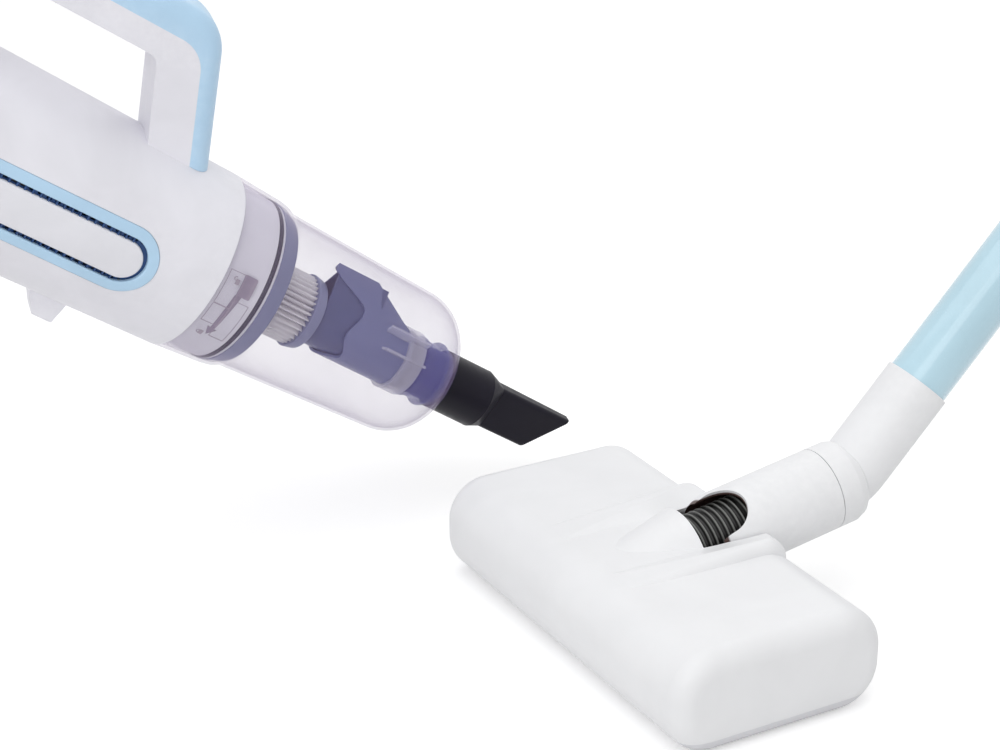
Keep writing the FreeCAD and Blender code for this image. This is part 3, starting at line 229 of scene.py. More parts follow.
class StageSettings(bpy.types.PropertyGroup):
    camera_place: FloatVectorProperty(
        name="Camera", description="Where the camera stands", default=(0.968, -0.642, 0.649),
        subtype="TRANSLATION",
    )
    camera_target: FloatVectorProperty(
        name="Target", description="What the camera looks at", default=(-0.0007, -0.0952, 0.1731),
        subtype="TRANSLATION",
    )
    lens: FloatProperty(name="Lens", description="Focal length in millimetres", default=86.5, min=10.0)
    key: light_value("Key", "Power of the overhead softbox in watts", 10.0)
    fill: light_value("Fill", "Power of the softbox in front in watts", 9.0)
    rim: light_value("Rim", "Power of the strip behind the object in watts", 2.0)
    daylight: light_value("Daylight", "Strength of the even room light", 0.62)
    floor_size: length_value("Floor size", "Side of the floor", 12.0)


class VacuumSettings(bpy.types.PropertyGroup):
    cup: PointerProperty(type=CupSettings)
    duct: PointerProperty(type=DuctSettings)
    filter: PointerProperty(type=FilterSettings)
    vent: PointerProperty(type=VentSettings)
    hose: PointerProperty(type=HoseSettings)
    pile: PointerProperty(type=PileSettings)
    colours: PointerProperty(type=ColourSettings)
    stage: PointerProperty(type=StageSettings)


# --- shader building blocks -----------------------------------------------------------------------

def shader_group(name, inputs, outputs):
    """An empty node group with named sockets: inputs are (name, kind, default), outputs (name, kind)."""
    group = bpy.data.node_groups.new(name, "ShaderNodeTree")
    for label, kind, default in inputs:
        socket = group.interface.new_socket(name=label, in_out="INPUT", socket_type=kind)
        if default is not None:
            socket.default_value = default
    for label, kind in outputs:
        group.interface.new_socket(name=label, in_out="OUTPUT", socket_type=kind)
    start = group.nodes.new("NodeGroupInput")
    end = group.nodes.new("NodeGroupOutput")
    return group, start, end


def math_node(tree, operation, first, second, clamp=False):
    node = tree.nodes.new("ShaderNodeMath")
    node.operation = operation
    node.use_clamp = clamp
    for socket, value in zip(node.inputs, (first, second)):
        feed(tree, socket, value)
    return node.outputs[0]


def feed(tree, socket, value):
    """Links a socket to another one, or sets it to a plain value."""
    if isinstance(value, bpy.types.NodeSocket):
        tree.links.new(value, socket)
    else:
        socket.default_value = value


def noise_node(tree, vector, scale, detail=3.0, roughness=0.5, distortion=0.0):
    node = tree.nodes.new("ShaderNodeTexNoise")
    feed(tree, node.inputs["Vector"], vector)
    feed(tree, node.inputs["Scale"], scale)
    node.inputs["Detail"].default_value = detail
    node.inputs["Roughness"].default_value = roughness
    node.inputs["Distortion"].default_value = distortion
    return node.outputs["Fac"]


def ranged(tree, value, low, high, new_low=0.0, new_high=1.0):
    node = tree.nodes.new("ShaderNodeMapRange")
    for label, content in (("Value", value), ("From Min", low), ("From Max", high),
                           ("To Min", new_low), ("To Max", new_high)):
        feed(tree, node.inputs[label], content)
    return node.outputs["Result"]


def mixed_colour(tree, factor, first, second):
    node = tree.nodes.new("ShaderNodeMix")
    node.data_type = "RGBA"
    feed(tree, node.inputs["Factor"], factor)
    feed(tree, node.inputs["A"], first)
    feed(tree, node.inputs["B"], second)
    return node.outputs["Result"]


def rgba(colour, gain=1.0):
    return (*(min(1.0, channel * gain) for channel in colour), 1.0)


def grain_group():
    """Fine spark-eroded texture of a moulding: height, and the gloss that goes with it."""
    group, start, end = shader_group(
        "moulded_grain",
        [("Vector", "NodeSocketVector", None), ("Fineness", "NodeSocketFloat", 1500.0)],
        [("Height", "NodeSocketFloat"), ("Gloss", "NodeSocketFloat")],
    )
    fine = noise_node(group, start.outputs["Vector"], start.outputs["Fineness"], 2.0, 0.6)
    coarse = noise_node(group, start.outputs["Vector"],
                        math_node(group, "MULTIPLY", start.outputs["Fineness"], 0.22), 3.0, 0.5)
    height = math_node(group, "ADD", math_node(group, "MULTIPLY", fine, 0.7),
                       math_node(group, "MULTIPLY", coarse, 0.3))
    group.links.new(height, end.inputs["Height"])
    group.links.new(ranged(group, coarse, 0.3, 0.7, -0.5, 0.5), end.inputs["Gloss"])
    return group


def handling_group():
    """Soft marks of use: broad patches where hands and cloths have been, and a few fine scuffs."""
    group, start, end = shader_group(
        "handling_marks",
        [("Vector", "NodeSocketVector", None), ("Patch", "NodeSocketFloat", 18.0),
         ("Scuff", "NodeSocketFloat", 160.0)],
        [("Patches", "NodeSocketFloat"), ("Scuffs", "NodeSocketFloat")],
    )
    patches = noise_node(group, start.outputs["Vector"], start.outputs["Patch"], 4.0, 0.55, 0.4)
    stretch = group.nodes.new("ShaderNodeMapping")
    group.links.new(start.outputs["Vector"], stretch.inputs["Vector"])
    stretch.inputs["Rotation"].default_value = (0.3, 0.5, 0.9)
    stretch.inputs["Scale"].default_value = (1.0, 9.0, 3.0)
    scuffs = noise_node(group, stretch.outputs["Vector"], start.outputs["Scuff"], 2.0, 0.7)
    group.links.new(ranged(group, patches, 0.35, 0.65), end.inputs["Patches"])
    group.links.new(ranged(group, scuffs, 0.62, 0.78), end.inputs["Scuffs"])
    return group


def edge_group():
    """Where edges are rubbed: a mask from the bend of the surface, broken up by noise."""
    group, start, end = shader_group(
        "edge_rub",
        [("Vector", "NodeSocketVector", None), ("Break", "NodeSocketFloat", 220.0)],
        [("Mask", "NodeSocketFloat")],
    )
    geometry = group.nodes.new("ShaderNodeNewGeometry")
    bend = ranged(group, geometry.outputs["Pointiness"], 0.515, 0.62)
    broken = noise_node(group, start.outputs["Vector"], start.outputs["Break"], 3.0, 0.6)
    mask = math_node(group, "MULTIPLY", bend, ranged(group, broken, 0.35, 0.7), clamp=True)
    group.links.new(mask, end.inputs["Mask"])
    return group


def axis_group():
    """Distance along an axis from its origin, and distance away from it."""
    group, start, end = shader_group(
        "axis_reach",
        [("Vector", "NodeSocketVector", None), ("Origin", "NodeSocketVector", (0.0, 0.0, 0.0)),
         ("Direction", "NodeSocketVector", (1.0, 0.0, 0.0))],
        [("Along", "NodeSocketFloat"), ("Away", "NodeSocketFloat")],
    )
    offset = vector_node(group, "SUBTRACT", start.outputs["Vector"], start.outputs["Origin"])
    along = vector_node(group, "DOT_PRODUCT", offset.outputs["Vector"], start.outputs["Direction"])
    foot = group.nodes.new("ShaderNodeVectorMath")
    foot.operation = "SCALE"
    group.links.new(start.outputs["Direction"], foot.inputs[0])
    group.links.new(along.outputs["Value"], foot.inputs["Scale"])
    away = vector_node(group, "DISTANCE", offset.outputs["Vector"], foot.outputs["Vector"])
    group.links.new(along.outputs["Value"], end.inputs["Along"])
    group.links.new(away.outputs["Value"], end.inputs["Away"])
    return group


def vector_node(tree, operation, first, second):
    node = tree.nodes.new("ShaderNodeVectorMath")
    node.operation = operation
    tree.links.new(first, node.inputs[0])
    tree.links.new(second, node.inputs[1])
    return node


def shared_group(name):
    makers = {"moulded_grain": grain_group, "handling_marks": handling_group, "edge_rub": edge_group,
              "axis_reach": axis_group}
    return bpy.data.node_groups.get(name) or makers[name]()


def placed_group(tree, name, vector, **values):
    node = tree.nodes.new("ShaderNodeGroup")
    node.node_tree = shared_group(name)
    tree.links.new(vector, node.inputs["Vector"])
    for label, value in values.items():
        node.inputs[label].default_value = value
    return node


def fresh_material(name):
    material = bpy.data.materials.new(name)
    material.use_nodes = True
    tree = material.node_tree
    shader = tree.nodes["Principled BSDF"]
    coordinates = tree.nodes.new("ShaderNodeTexCoord")
    return material, tree, shader, coordinates.outputs["Object"]


def bumped(tree, shader, height, distance, strength=1.0):
    bump = tree.nodes.new("ShaderNodeBump")
    bump.inputs["Distance"].default_value = distance
    bump.inputs["Strength"].default_value = strength
    tree.links.new(height, bump.inputs["Height"])
    tree.links.new(bump.outputs["Normal"], shader.inputs["Normal"])


def roughened(tree, shader, level, *masks):
    """Sets the roughness: an even level, and each (mask, share) on top of it."""
    total = level
    for mask, share in masks:
        total = math_node(tree, "ADD", math_node(tree, "MULTIPLY", mask, share), total, clamp=True)
    tree.links.new(total, shader.inputs["Roughness"])


# --- finishes -------------------------------------------------------------------------------------

def moulded_plastic(name, colour, roughness=0.4, fineness=1500.0, depth=0.00002, rub=0.25, drift=0.04,
                    coat=0.0, specular=0.4):
    """A coloured moulding: fine grain, patches of handling and paler rubbed edges."""
    material, tree, shader, vector = fresh_material(name)
    shader.inputs["Specular IOR Level"].default_value = specular
    grain = placed_group(tree, "moulded_grain", vector, Fineness=fineness)
    marks = placed_group(tree, "handling_marks", vector)
    edges = placed_group(tree, "edge_rub", vector)
    tone = mixed_colour(tree, marks.outputs["Patches"], rgba(colour, 1 - drift), rgba(colour, 1 + drift))
    rubbed = mixed_colour(tree, math_node(tree, "MULTIPLY", edges.outputs["Mask"], rub), tone,
                          rgba([c * 0.6 + 0.4 * max(colour) for c in colour], 1.15))
    tree.links.new(rubbed, shader.inputs["Base Color"])
    roughened(tree, shader, roughness, (grain.outputs["Gloss"], 0.10), (marks.outputs["Patches"], 0.07),
              (marks.outputs["Scuffs"], 0.09))
    shader.inputs["Coat Weight"].default_value = coat
    shader.inputs["Coat Roughness"].default_value = 0.12
    bumped(tree, shader, grain.outputs["Height"], depth)
    return material


def shaded_bore(name, colour, bore_shade, place, radius):
    """A moulded tube with painted shade inside, tinted brown: everything nearer its axis than the radius."""
    material = moulded_plastic(name, colour, 0.40, drift=0.02)
    tree = material.node_tree
    shader = tree.nodes["Principled BSDF"]
    vector = tree.nodes["Texture Coordinate"].outputs["Object"]
    reach = placed_group(tree, "axis_reach", vector, Origin=place.translation, Direction=place.col[0].to_3d())
    # mottled tone of the painted shade inside the bore
    bore_mottle = noise_node(tree, vector, 90.0, 3.0, 0.6)
    tone = mixed_colour(tree, ranged(tree, bore_mottle, 0.3, 0.7), rgba(bore_shade, 0.7), rgba(bore_shade, 1.3))
    soft_edge = 0.0004
    # the moulding's own colour outside the bore, painted shade inside it
    inside = ranged(tree, reach.outputs["Away"], radius, radius - soft_edge)
    unshaded_colour = shader.inputs["Base Color"].links[0].from_socket
    tree.links.new(mixed_colour(tree, inside, unshaded_colour, tone), shader.inputs["Base Color"])
    return material


def sleeved_plastic(name, clear, colour, place, start):
    """A clear moulding that turns to a tinted sleeve from start on, along its axis."""
    material = clear_plastic(name, clear)
    tree = material.node_tree
    shader = tree.nodes["Principled BSDF"]
    vector = tree.nodes["Texture Coordinate"].outputs["Object"]
    reach = placed_group(tree, "axis_reach", vector, Origin=place.translation, Direction=place.col[0].to_3d())
    soft_edge = 0.0015
    sleeve = ranged(tree, reach.outputs["Along"], start, start + soft_edge)
    tone = shader.inputs["Base Color"].links[0].from_socket
    tree.links.new(mixed_colour(tree, sleeve, tone, rgba(colour)), shader.inputs["Base Color"])
    cover = shader.inputs["Alpha"].links[0].from_socket
    deeper = math_node(tree, "MULTIPLY", sleeve, SLEEVE_COVER)
    tree.links.new(math_node(tree, "ADD", cover, deeper, clamp=True), shader.inputs["Alpha"])
    return material


def ridged_rubber(name, valley, ridge):
    """Hose material: black, with a painted highlight along the crests of the ribs, by the height stored on the
    mesh.
    """
    material, tree, shader, vector = fresh_material(name)
    height = tree.nodes.new("ShaderNodeAttribute")
    height.attribute_name = RIB_HEIGHT
    grain = placed_group(tree, "moulded_grain", vector, Fineness=1800.0)
    marks = placed_group(tree, "handling_marks", vector, Patch=70.0)
    # paler crests are a painted highlight, broken up by the patches
    crest_highlight = ranged(tree, height.outputs["Fac"], 0.55, 0.98)
    broken_highlight = math_node(tree, "MULTIPLY", crest_highlight, ranged(tree, marks.outputs["Patches"], 0.0, 1.0, 0.75, 1.0))
    tree.links.new(mixed_colour(tree, broken_highlight, rgba(valley), rgba(ridge)), shader.inputs["Base Color"])
    roughened(tree, shader, 0.42, (grain.outputs["Gloss"], 0.15))
    bumped(tree, shader, grain.outputs["Height"], 0.00002)
    return material


def clear_plastic(name, colour, cover=0.085, edge=0.52, roughness=0.08, haze=0.02):
    """A thin see-through moulding: its tint covers little, but more where the wall is seen edge on."""
    material, tree, shader, vector = fresh_material(name)
    marks = placed_group(tree, "handling_marks", vector, Patch=26.0, Scuff=90.0)
    tone = mixed_colour(tree, marks.outputs["Patches"], rgba(colour), rgba(colour, 0.96))
    tree.links.new(tone, shader.inputs["Base Color"])
    roughened(tree, shader, roughness, (marks.outputs["Scuffs"], 0.1))
    slant = tree.nodes.new("ShaderNodeLayerWeight")
    slant.inputs["Blend"].default_value = 0.5
    steep = math_node(tree, "POWER", slant.outputs["Facing"], EDGE_POWER)
    rim = math_node(tree, "MULTIPLY", steep, edge)
    veil = math_node(tree, "MULTIPLY", marks.outputs["Patches"], haze)
    depth = math_node(tree, "ADD", rim, veil)
    tree.links.new(math_node(tree, "ADD", depth, cover, clamp=True), shader.inputs["Alpha"])
    flow = noise_node(tree, vector, 55.0, 2.0, 0.4)
    bumped(tree, shader, flow, 0.00012, 0.35)
    return material


def painted_metal(name, colour):
    """Glossy paint on a metal tube: orange peel, tiny flakes of tone and fine scratches."""
    material, tree, shader, vector = fresh_material(name)
    marks = placed_group(tree, "handling_marks", vector, Patch=14.0, Scuff=210.0)
    tone = mixed_colour(tree, marks.outputs["Patches"], rgba(colour, 0.97), rgba(colour, 1.03))
    tree.links.new(tone, shader.inputs["Base Color"])
    roughened(tree, shader, 0.24, (marks.outputs["Scuffs"], 0.12))
    shader.inputs["Coat Weight"].default_value = 0.8
    shader.inputs["Coat Roughness"].default_value = 0.06
    peel = noise_node(tree, vector, 420.0, 2.0, 0.4)
    bumped(tree, shader, peel, 0.00003, 0.5)
    return material


def soft_rubber(name, colour, roughness=0.62, rub=0.3):
    """Rubber or flexible plastic: matt, with a dusty bloom in the patches."""
    material, tree, shader, vector = fresh_material(name)
    grain = placed_group(tree, "moulded_grain", vector, Fineness=2200.0)
    marks = placed_group(tree, "handling_marks", vector, Patch=60.0)
    edges = placed_group(tree, "edge_rub", vector, Break=400.0)
    dust = [c + 0.012 for c in colour]
    bloom = mixed_colour(tree, marks.outputs["Patches"], rgba(colour, 0.85), rgba(dust))
    rubbed = mixed_colour(tree, math_node(tree, "MULTIPLY", edges.outputs["Mask"], rub), bloom,
                          rgba([c + 0.10 for c in colour]))
    tree.links.new(rubbed, shader.inputs["Base Color"])
    roughened(tree, shader, roughness, (grain.outputs["Gloss"], 0.18))
    bumped(tree, shader, grain.outputs["Height"], 0.00003)
    return material


def turned_metal(name, colour, roughness=0.28, stretch=(30.0, 900.0, 900.0)):
    """Bright metal with fine tool marks and a few duller patches."""
    material, tree, shader, vector = fresh_material(name)
    mapping = tree.nodes.new("ShaderNodeMapping")
    tree.links.new(vector, mapping.inputs["Vector"])
    mapping.inputs["Scale"].default_value = stretch
    lines = noise_node(tree, mapping.outputs["Vector"], 1.0, 3.0, 0.6)
    marks = placed_group(tree, "handling_marks", vector, Patch=70.0)
    tone = mixed_colour(tree, marks.outputs["Patches"], rgba(colour, 0.86), rgba(colour, 1.04))
    tree.links.new(tone, shader.inputs["Base Color"])
    polish = ranged(tree, lines, 0.3, 0.7, roughness - 0.08, roughness + 0.14)
    tree.links.new(polish, shader.inputs["Roughness"])
    shader.inputs["Metallic"].default_value = 1.0
    bumped(tree, shader, lines, 0.00001)
    return material


def fibre_mat(name, colour, scale=900.0, depth=0.00012, roughness=0.9, glow=0.0):
    """Matted fibres: paper, felt or foam, by scale and depth; glow is how much light goes through."""
    material, tree, shader, vector = fresh_material(name)
    strands = noise_node(tree, vector, scale, 5.0, 0.7, 1.2)
    clumps = noise_node(tree, vector, scale * 0.12, 3.0, 0.6)
    tone = mixed_colour(tree, ranged(tree, clumps, 0.3, 0.7), rgba(colour, 0.88), rgba(colour, 1.06))
    fuzzy = mixed_colour(tree, ranged(tree, strands, 0.35, 0.75), rgba(colour, 0.80), tone)
    tree.links.new(fuzzy, shader.inputs["Base Color"])
    nap = ranged(tree, strands, 0.2, 0.8, roughness - 0.08, roughness + 0.08)
    tree.links.new(nap, shader.inputs["Roughness"])
    shader.inputs["Sheen Weight"].default_value = 0.3
    shader.inputs["Sheen Roughness"].default_value = 0.5
    bumped(tree, shader, strands, depth)
    shader.inputs["Subsurface Weight"].default_value = glow
    shader.inputs["Subsurface Scale"].default_value = LIGHT_REACH
    shader.inputs["Subsurface Radius"].default_value = (1.0, 1.0, 1.0)
    return material


def circuit_board(name, colour):
    """Coated board: paler copper runs under a green mask, and tinned spots."""
    material, tree, shader, vector = fresh_material(name)
    runs = tree.nodes.new("ShaderNodeTexBrick")
    tree.links.new(vector, runs.inputs["Vector"])
    runs.inputs["Scale"].default_value = 260.0
    runs.inputs["Mortar Size"].default_value = 0.03
    runs.inputs["Color1"].default_value = rgba(colour)
    runs.inputs["Color2"].default_value = rgba(colour, 1.3)
    runs.inputs["Mortar"].default_value = rgba(colour, 2.6)
    spots = tree.nodes.new("ShaderNodeTexVoronoi")
    tree.links.new(vector, spots.inputs["Vector"])
    spots.inputs["Scale"].default_value = 420.0
    tinned = ranged(tree, spots.outputs["Distance"], 0.18, 0.14)
    tree.links.new(mixed_colour(tree, tinned, runs.outputs["Color"], (0.6, 0.58, 0.52, 1.0)),
                   shader.inputs["Base Color"])
    tree.links.new(tinned, shader.inputs["Metallic"])
    tree.links.new(ranged(tree, tinned, 0.0, 1.0, 0.35, 0.22), shader.inputs["Roughness"])
    bumped(tree, shader, runs.outputs["Fac"], 0.00003)
    return material


def build_finishes(colours):
    """One finish for each material slot of the record, and a few more for parts of a piece."""
    return {
        "case_white": moulded_plastic("case_white", colours.case, 0.42),
        "panel_white": moulded_plastic("panel_white", colours.panel, 0.36),
        "trim_blue": moulded_plastic("trim_blue", colours.trim, 0.34, depth=0.00001),
        "button_grey": moulded_plastic("button_grey", (0.42, 0.44, 0.50), 0.5),
        "vent_dark": moulded_plastic("vent_dark", (0.020, 0.070, 0.215), 0.5, drift=0.12),
        "clear_shell": clear_plastic("clear_shell", colours.shell),
        "clear_rib": clear_plastic("clear_rib", (0.720, 0.720, 0.860), 0.35),
        "clear_violet": sleeved_plastic("clear_violet", colours.shell, colours.inlet, HAND, SLEEVE_START),
        "smoke_blue": clear_plastic("smoke_blue", colours.duct, 0.90, 0.1, 0.25),
        "smoke_dark": clear_plastic("smoke_dark", colours.baffle, 0.95, 0.05, 0.3),
        "mark_mauve": moulded_plastic("mark_mauve", colours.mark, 0.5),
        "band_blue": moulded_plastic("band_blue", colours.band, 0.36, rub=0.15),
        "seal_black": soft_rubber("seal_black", (0.014, 0.014, 0.020), 0.5),
        "filter_paper": fibre_mat("filter_paper", (0.93, 0.90, 0.92), 1400.0, 0.00006, glow=0.8),
        "filter_foam": fibre_mat("filter_foam", (0.055, 0.055, 0.065), 700.0, 0.0005),
        "nozzle_black": moulded_plastic("nozzle_black", colours.nozzle, 0.38, 1100.0, 0.00003, rub=0.05,
                                        drift=0.15, specular=0.2),
        "inner_grey": moulded_plastic("inner_grey", (0.11, 0.11, 0.12), 0.5),
        "fan_metal": turned_metal("fan_metal", (0.72, 0.72, 0.74), 0.30, (500.0, 60.0, 500.0)),
        "steel": turned_metal("steel", (0.60, 0.60, 0.62)),
        "cell_wrap": moulded_plastic("cell_wrap", (0.045, 0.220, 0.270), 0.30, 400.0, 0.00004, coat=0.3),
        "board_green": circuit_board("board_green", (0.025, 0.160, 0.070)),
        "wand_blue": painted_metal("wand_blue", colours.wand),
        "head_white": moulded_plastic("head_white", colours.head, 0.40, drift=0.02),
        # the neck's inner wall gets painted shade, tinted brown
        "neck_white": shaded_bore("neck_white", colours.head, colours.bore_shade, NECK, NECK_BORE),
        "base_grey": moulded_plastic("base_grey", (0.70, 0.70, 0.73), 0.48),
        "lint_red": fibre_mat("lint_red", (0.36, 0.045, 0.050), 900.0, 0.0002),
        # the second colour is the painted highlight on the rib crests
        "hose_black": ridged_rubber("hose_black", (0.006, 0.006, 0.006), (0.185, 0.190, 0.180)),
        "wheel_grey": soft_rubber("wheel_grey", (0.110, 0.110, 0.120), 0.68),
    }


FINISHES = {}
NODE_SLOTS = {part["node"]: part["material_slot"] for part in frame["record"]["subparts"]}


def finish_for(slot):
    if not FINISHES:
        FINISHES.update(build_finishes(bpy.context.scene.vacuum.colours))
    return FINISHES[slot]


def dress(nodes, finish=None):
    """Gives carried-over nodes the finish of their own slot, or the one named."""
    for node in nodes:
        piece = frame["nodes"][node]
        piece.data.materials.clear()
        piece.data.materials.append(finish_for(finish or NODE_SLOTS[node]))


# --- modelling helpers ----------------------------------------------------------------------------

def rounded(corners, steps=6):
    """The outline through corners (a, b, radius), each turned on an arc of its own radius."""
    outline = []
    for i, (a, b, radius) in enumerate(corners):
        here = Vector((a, b))
        if radius == 0:
            outline.append(here)
            continue
        back = (Vector(corners[i - 1][:2]) - here).normalized()
        ahead = (Vector(corners[(i + 1) % len(corners)][:2]) - here).normalized()
        half = back.angle(ahead) / 2
        centre = here + (back + ahead).normalized() * (radius / math.sin(half))
        first = here + back * (radius / math.tan(half)) - centre
        last = here + ahead * (radius / math.tan(half)) - centre
        turn = math.atan2(first.x * last.y - first.y * last.x, first.dot(last))
        outline += [centre + Matrix.Rotation(turn * k / steps, 2) @ first for k in range(steps + 1)]
    return outline


def turned(profile, steps=ROUND_STEPS):
    """A closed profile of (x, radius) turned fully round the x axis."""
    bm = bmesh.new()
    rim = [bm.verts.new((x, 0, r)) for x, r in profile]
    edges = [bm.edges.new(pair) for pair in zip(rim, rim[1:] + rim[:1])]
    bmesh.ops.spin(bm, geom=rim + edges, cent=(0, 0, 0), axis=(1, 0, 0), angle=FULL_TURN, steps=steps,
                   use_merge=True)
    return cleaned(bm)


def cleaned(bm):
    bmesh.ops.remove_doubles(bm, verts=bm.verts, dist=MERGE)
    bmesh.ops.recalc_face_normals(bm, faces=bm.faces)
    return bm


def grown(bm, edges):
    """Extrudes a loop of edges in place: the new vertices and the new edges."""
    made = bmesh.ops.extrude_edge_only(bm, edges=edges)["geom"]
    verts = [g for g in made if isinstance(g, bmesh.types.BMVert)]
    return verts, [g for g in made if isinstance(g, bmesh.types.BMEdge)]


def joined(pieces):
    """Several meshes in one."""
    whole = bmesh.new()
    for bm in pieces:
        mesh = bpy.data.meshes.new("part")
        bm.to_mesh(mesh)
        bm.free()
        whole.from_mesh(mesh)
        bpy.data.meshes.remove(mesh)
    return whole


def piece_of(name, bm, place, slot, body=None, finish=None):
    """The finished piece, placed in the row frame, in the finish of its slot or the one named."""
    bm.transform(place)
    mesh = bpy.data.meshes.new(name)
    bm.to_mesh(mesh)
    bm.free()
    mesh.shade_smooth()
    mesh.set_sharp_from_angle(angle=CREASE)
    mesh.materials.append(finish_for(finish or slot))
    piece = bpy.data.objects.new(name, mesh)
    bpy.context.scene.collection.objects.link(piece)
    if body:
        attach(piece, body)
    return piece


def wrapped(bm, radius_at):
    """Flat work (x along, y round, z out) laid round the hand axis; y is the arc above the right side."""
    for v in bm.verts:
        radius = radius_at(v.co.x)
        turn = v.co.y / radius
        reach = radius + v.co.z
        v.co = (v.co.x, -reach * math.cos(turn), reach * math.sin(turn))
    return cleaned(bm)


def plate(outline, height, strip=0.0015):
    """A flat plate of an outline (x, y), sliced across y so that it can be wrapped."""
    bm = bmesh.new()
    bm.faces.new([bm.verts.new((x, y, 0)) for x, y in outline])
    start = min(y for _, y in outline)
    end = max(y for _, y in outline)
    for k in range(1, int((end - start) / strip) + 1):
        bmesh.ops.bisect_plane(bm, geom=bm.verts[:] + bm.edges[:] + bm.faces[:],
                               plane_co=(0, start + k * strip, 0), plane_no=(0, 1, 0))
    made = bmesh.ops.extrude_face_region(bm, geom=bm.faces[:])["geom"]
    bmesh.ops.translate(bm, verts=[g for g in made if isinstance(g, bmesh.types.BMVert)], vec=(0, 0, height))
    return bm


# --- the dust cup and what it holds ---------------------------------------------------------------

def cup_profile(cup):
    """Outer wall forward from the lip, round the nose to the inlet, and back along the inner wall."""
    low, high = span("dust_cup", HAND)
    collar_radius = SEAM_RADIUS - cup.collar_step
    shoulder = cup.collar + cup.step
    nose_start = high.x - cup.nose
    inlet_radius = span("inlet_collar", HAND)[1].y - cup.rim
    centre = cup.front_radius - cup.nose
    lip = 0.0003
    taper = cup.collar + 0.005
    drop = 0.0007
    inner_collar = collar_radius - cup.wall - lip
    corners = [
        (low.x, SEAM_RADIUS, lip),
        (cup.collar, collar_radius, 0.002),
        (taper, collar_radius - drop, 0.002),
        (shoulder, cup.step_radius, 0.003),
    ]
    corners += nose_arc(nose_start, centre, cup.nose, inlet_radius)
    corners += reversed(nose_arc(nose_start, centre, cup.nose - cup.wall, inlet_radius))
    corners += [
        (shoulder, cup.step_radius - cup.wall, 0.002),
        (taper, inner_collar - drop, 0.002),
        (cup.collar, inner_collar, 0.002),
        (low.x, SEAM_RADIUS - cup.wall - lip, lip),
    ]
    return rounded(corners)


def nose_arc(x, centre_radius, radius, stop_radius, steps=20):
    """The rounded nose, from the wall down to the inlet's edge, as corners in a few even steps."""
    end = math.asin(max(0.0, (stop_radius - centre_radius) / radius))
    turns = [math.pi / 2 + (end - math.pi / 2) * k / steps for k in range(steps + 1)]
    return [(x + radius * math.cos(t), centre_radius + radius * math.sin(t), 0) for t in turns]


def cup_shell(cup):
    return turned(cup_profile(cup), 128)


def inlet_profile(cup):
    """Ribbed tube in the nose of the cup: two raised rings and a rolled rim."""
    low, high = span("inlet_collar", HAND)
    outer = high.y - cup.rim
    bore = outer - 0.002
    ring = outer + 0.0012
    flange = high.y
    return rounded([
        (low.x, bore, 0.0004),
        (low.x, ring, 0.0006),
        (low.x + 0.0022, ring, 0.0006),
        (low.x + 0.0026, outer, 0.0004),
        (low.x + 0.0100, outer, 0.0004),
        (low.x + 0.0104, ring, 0.0005),
        (low.x + 0.0120, ring, 0.0005),
        (low.x + 0.0124, outer, 0.0004),
        (high.x - 0.0076, outer, 0.0004),
        (high.x - 0.0072, flange, 0.0005),
        (high.x - 0.0054, flange, 0.0005),
        (high.x - 0.0050, outer, 0.0004),
        (high.x, outer, 0.0006),
        (high.x, bore, 0.0004),
    ], 3)


def duct_ring(verts, x, radius, roof, edge_at=None):
    """Sets one ring of the duct: round below, drawn up to a ridge of height roof above."""
    tangent = math.acos(min(1.0, radius / max(roof, radius)))
    for v in verts:
        turn = math.atan2(v.co.y, v.co.z)
        reach = radius / math.cos(max(0.0, tangent - abs(turn)))
        v.co = (x, reach * math.sin(turn), reach * math.cos(turn))
        if edge_at:
            v.co.x = edge_at(v.co.z)


def smooth_step(t):
    t = min(1.0, max(0.0, t))
    return t * t * (3 - 2 * t)


def duct_sheet(duct, inset):
    """The plain rear ring of the duct, ready to be drawn forward."""
    low, high = span("inlet_duct", HAND)
    radius = high.y - inset
    bm = bmesh.new()
    across = Matrix.Rotation(math.pi / 2, 4, "Y")
    bmesh.ops.create_circle(bm, segments=ROUND_STEPS, radius=radius, matrix=across)
    duct_ring(bm.verts[:], low.x + BAFFLE_START, radius, duct.roof - inset)
    return bm, bm.edges[:], radius


def walled(bm, thickness):
    bmesh.ops.recalc_face_normals(bm, faces=bm.faces)
    bmesh.ops.solidify(bm, geom=bm.faces[:], thickness=thickness)
    return cleaned(bm)


def duct_shell(duct):
    """A thin duct from its wavy rear edge to the front, with the ridge falling to the tube."""
    high = span("inlet_duct", HAND)[1]
    bm, edges, radius = duct_sheet(duct, 0.0)
    duct_ring(bm.verts[:], 0.0, radius, duct.roof, duct_rear)
    fall = [(0.0, duct.roof), (0.45, duct.roof - 0.009), (0.75, duct.roof - 0.015), (1.0, high.y)]
    for t, roof in fall:
        verts, edges = grown(bm, edges)
        duct_ring(verts, duct.roof_end + (high.x - duct.roof_end) * t, radius, roof)
    return walled(bm, duct.wall)


def duct_baffle(duct):
    """The darker sheet inside the duct, from behind the duct's wavy rear edge to in front of it."""
    bm, edges, radius = duct_sheet(duct, duct.baffle_gap)
    verts, edges = grown(bm, edges)
    duct_ring(verts, BAFFLE_END, radius, duct.roof - duct.baffle_gap)
    return walled(bm, duct.wall / 2)


def duct_rear(z):
    """Rear edge of the duct: a soft wave, furthest back at the ridge and the foot."""
    wave = 0.1045 + 0.0028 * math.sin((z - 0.012) / 0.0046)
    at_ridge = 0.0225 * smooth_step((z - 0.021) / 0.0145)
    at_foot = 0.008 * smooth_step((-0.010 - z) / 0.007)
    return wave - at_ridge - at_foot


def fold_wave(turn, pleats):
    """Depth of a pleat at an angle: 0 on the crest, 1 in the fold, both slightly round."""
    share = (turn / FULL_TURN * pleats) % 1.0
    sharp = 1 - abs(2 * share - 1)
    return smooth_step(sharp) * 0.45 + sharp * 0.55


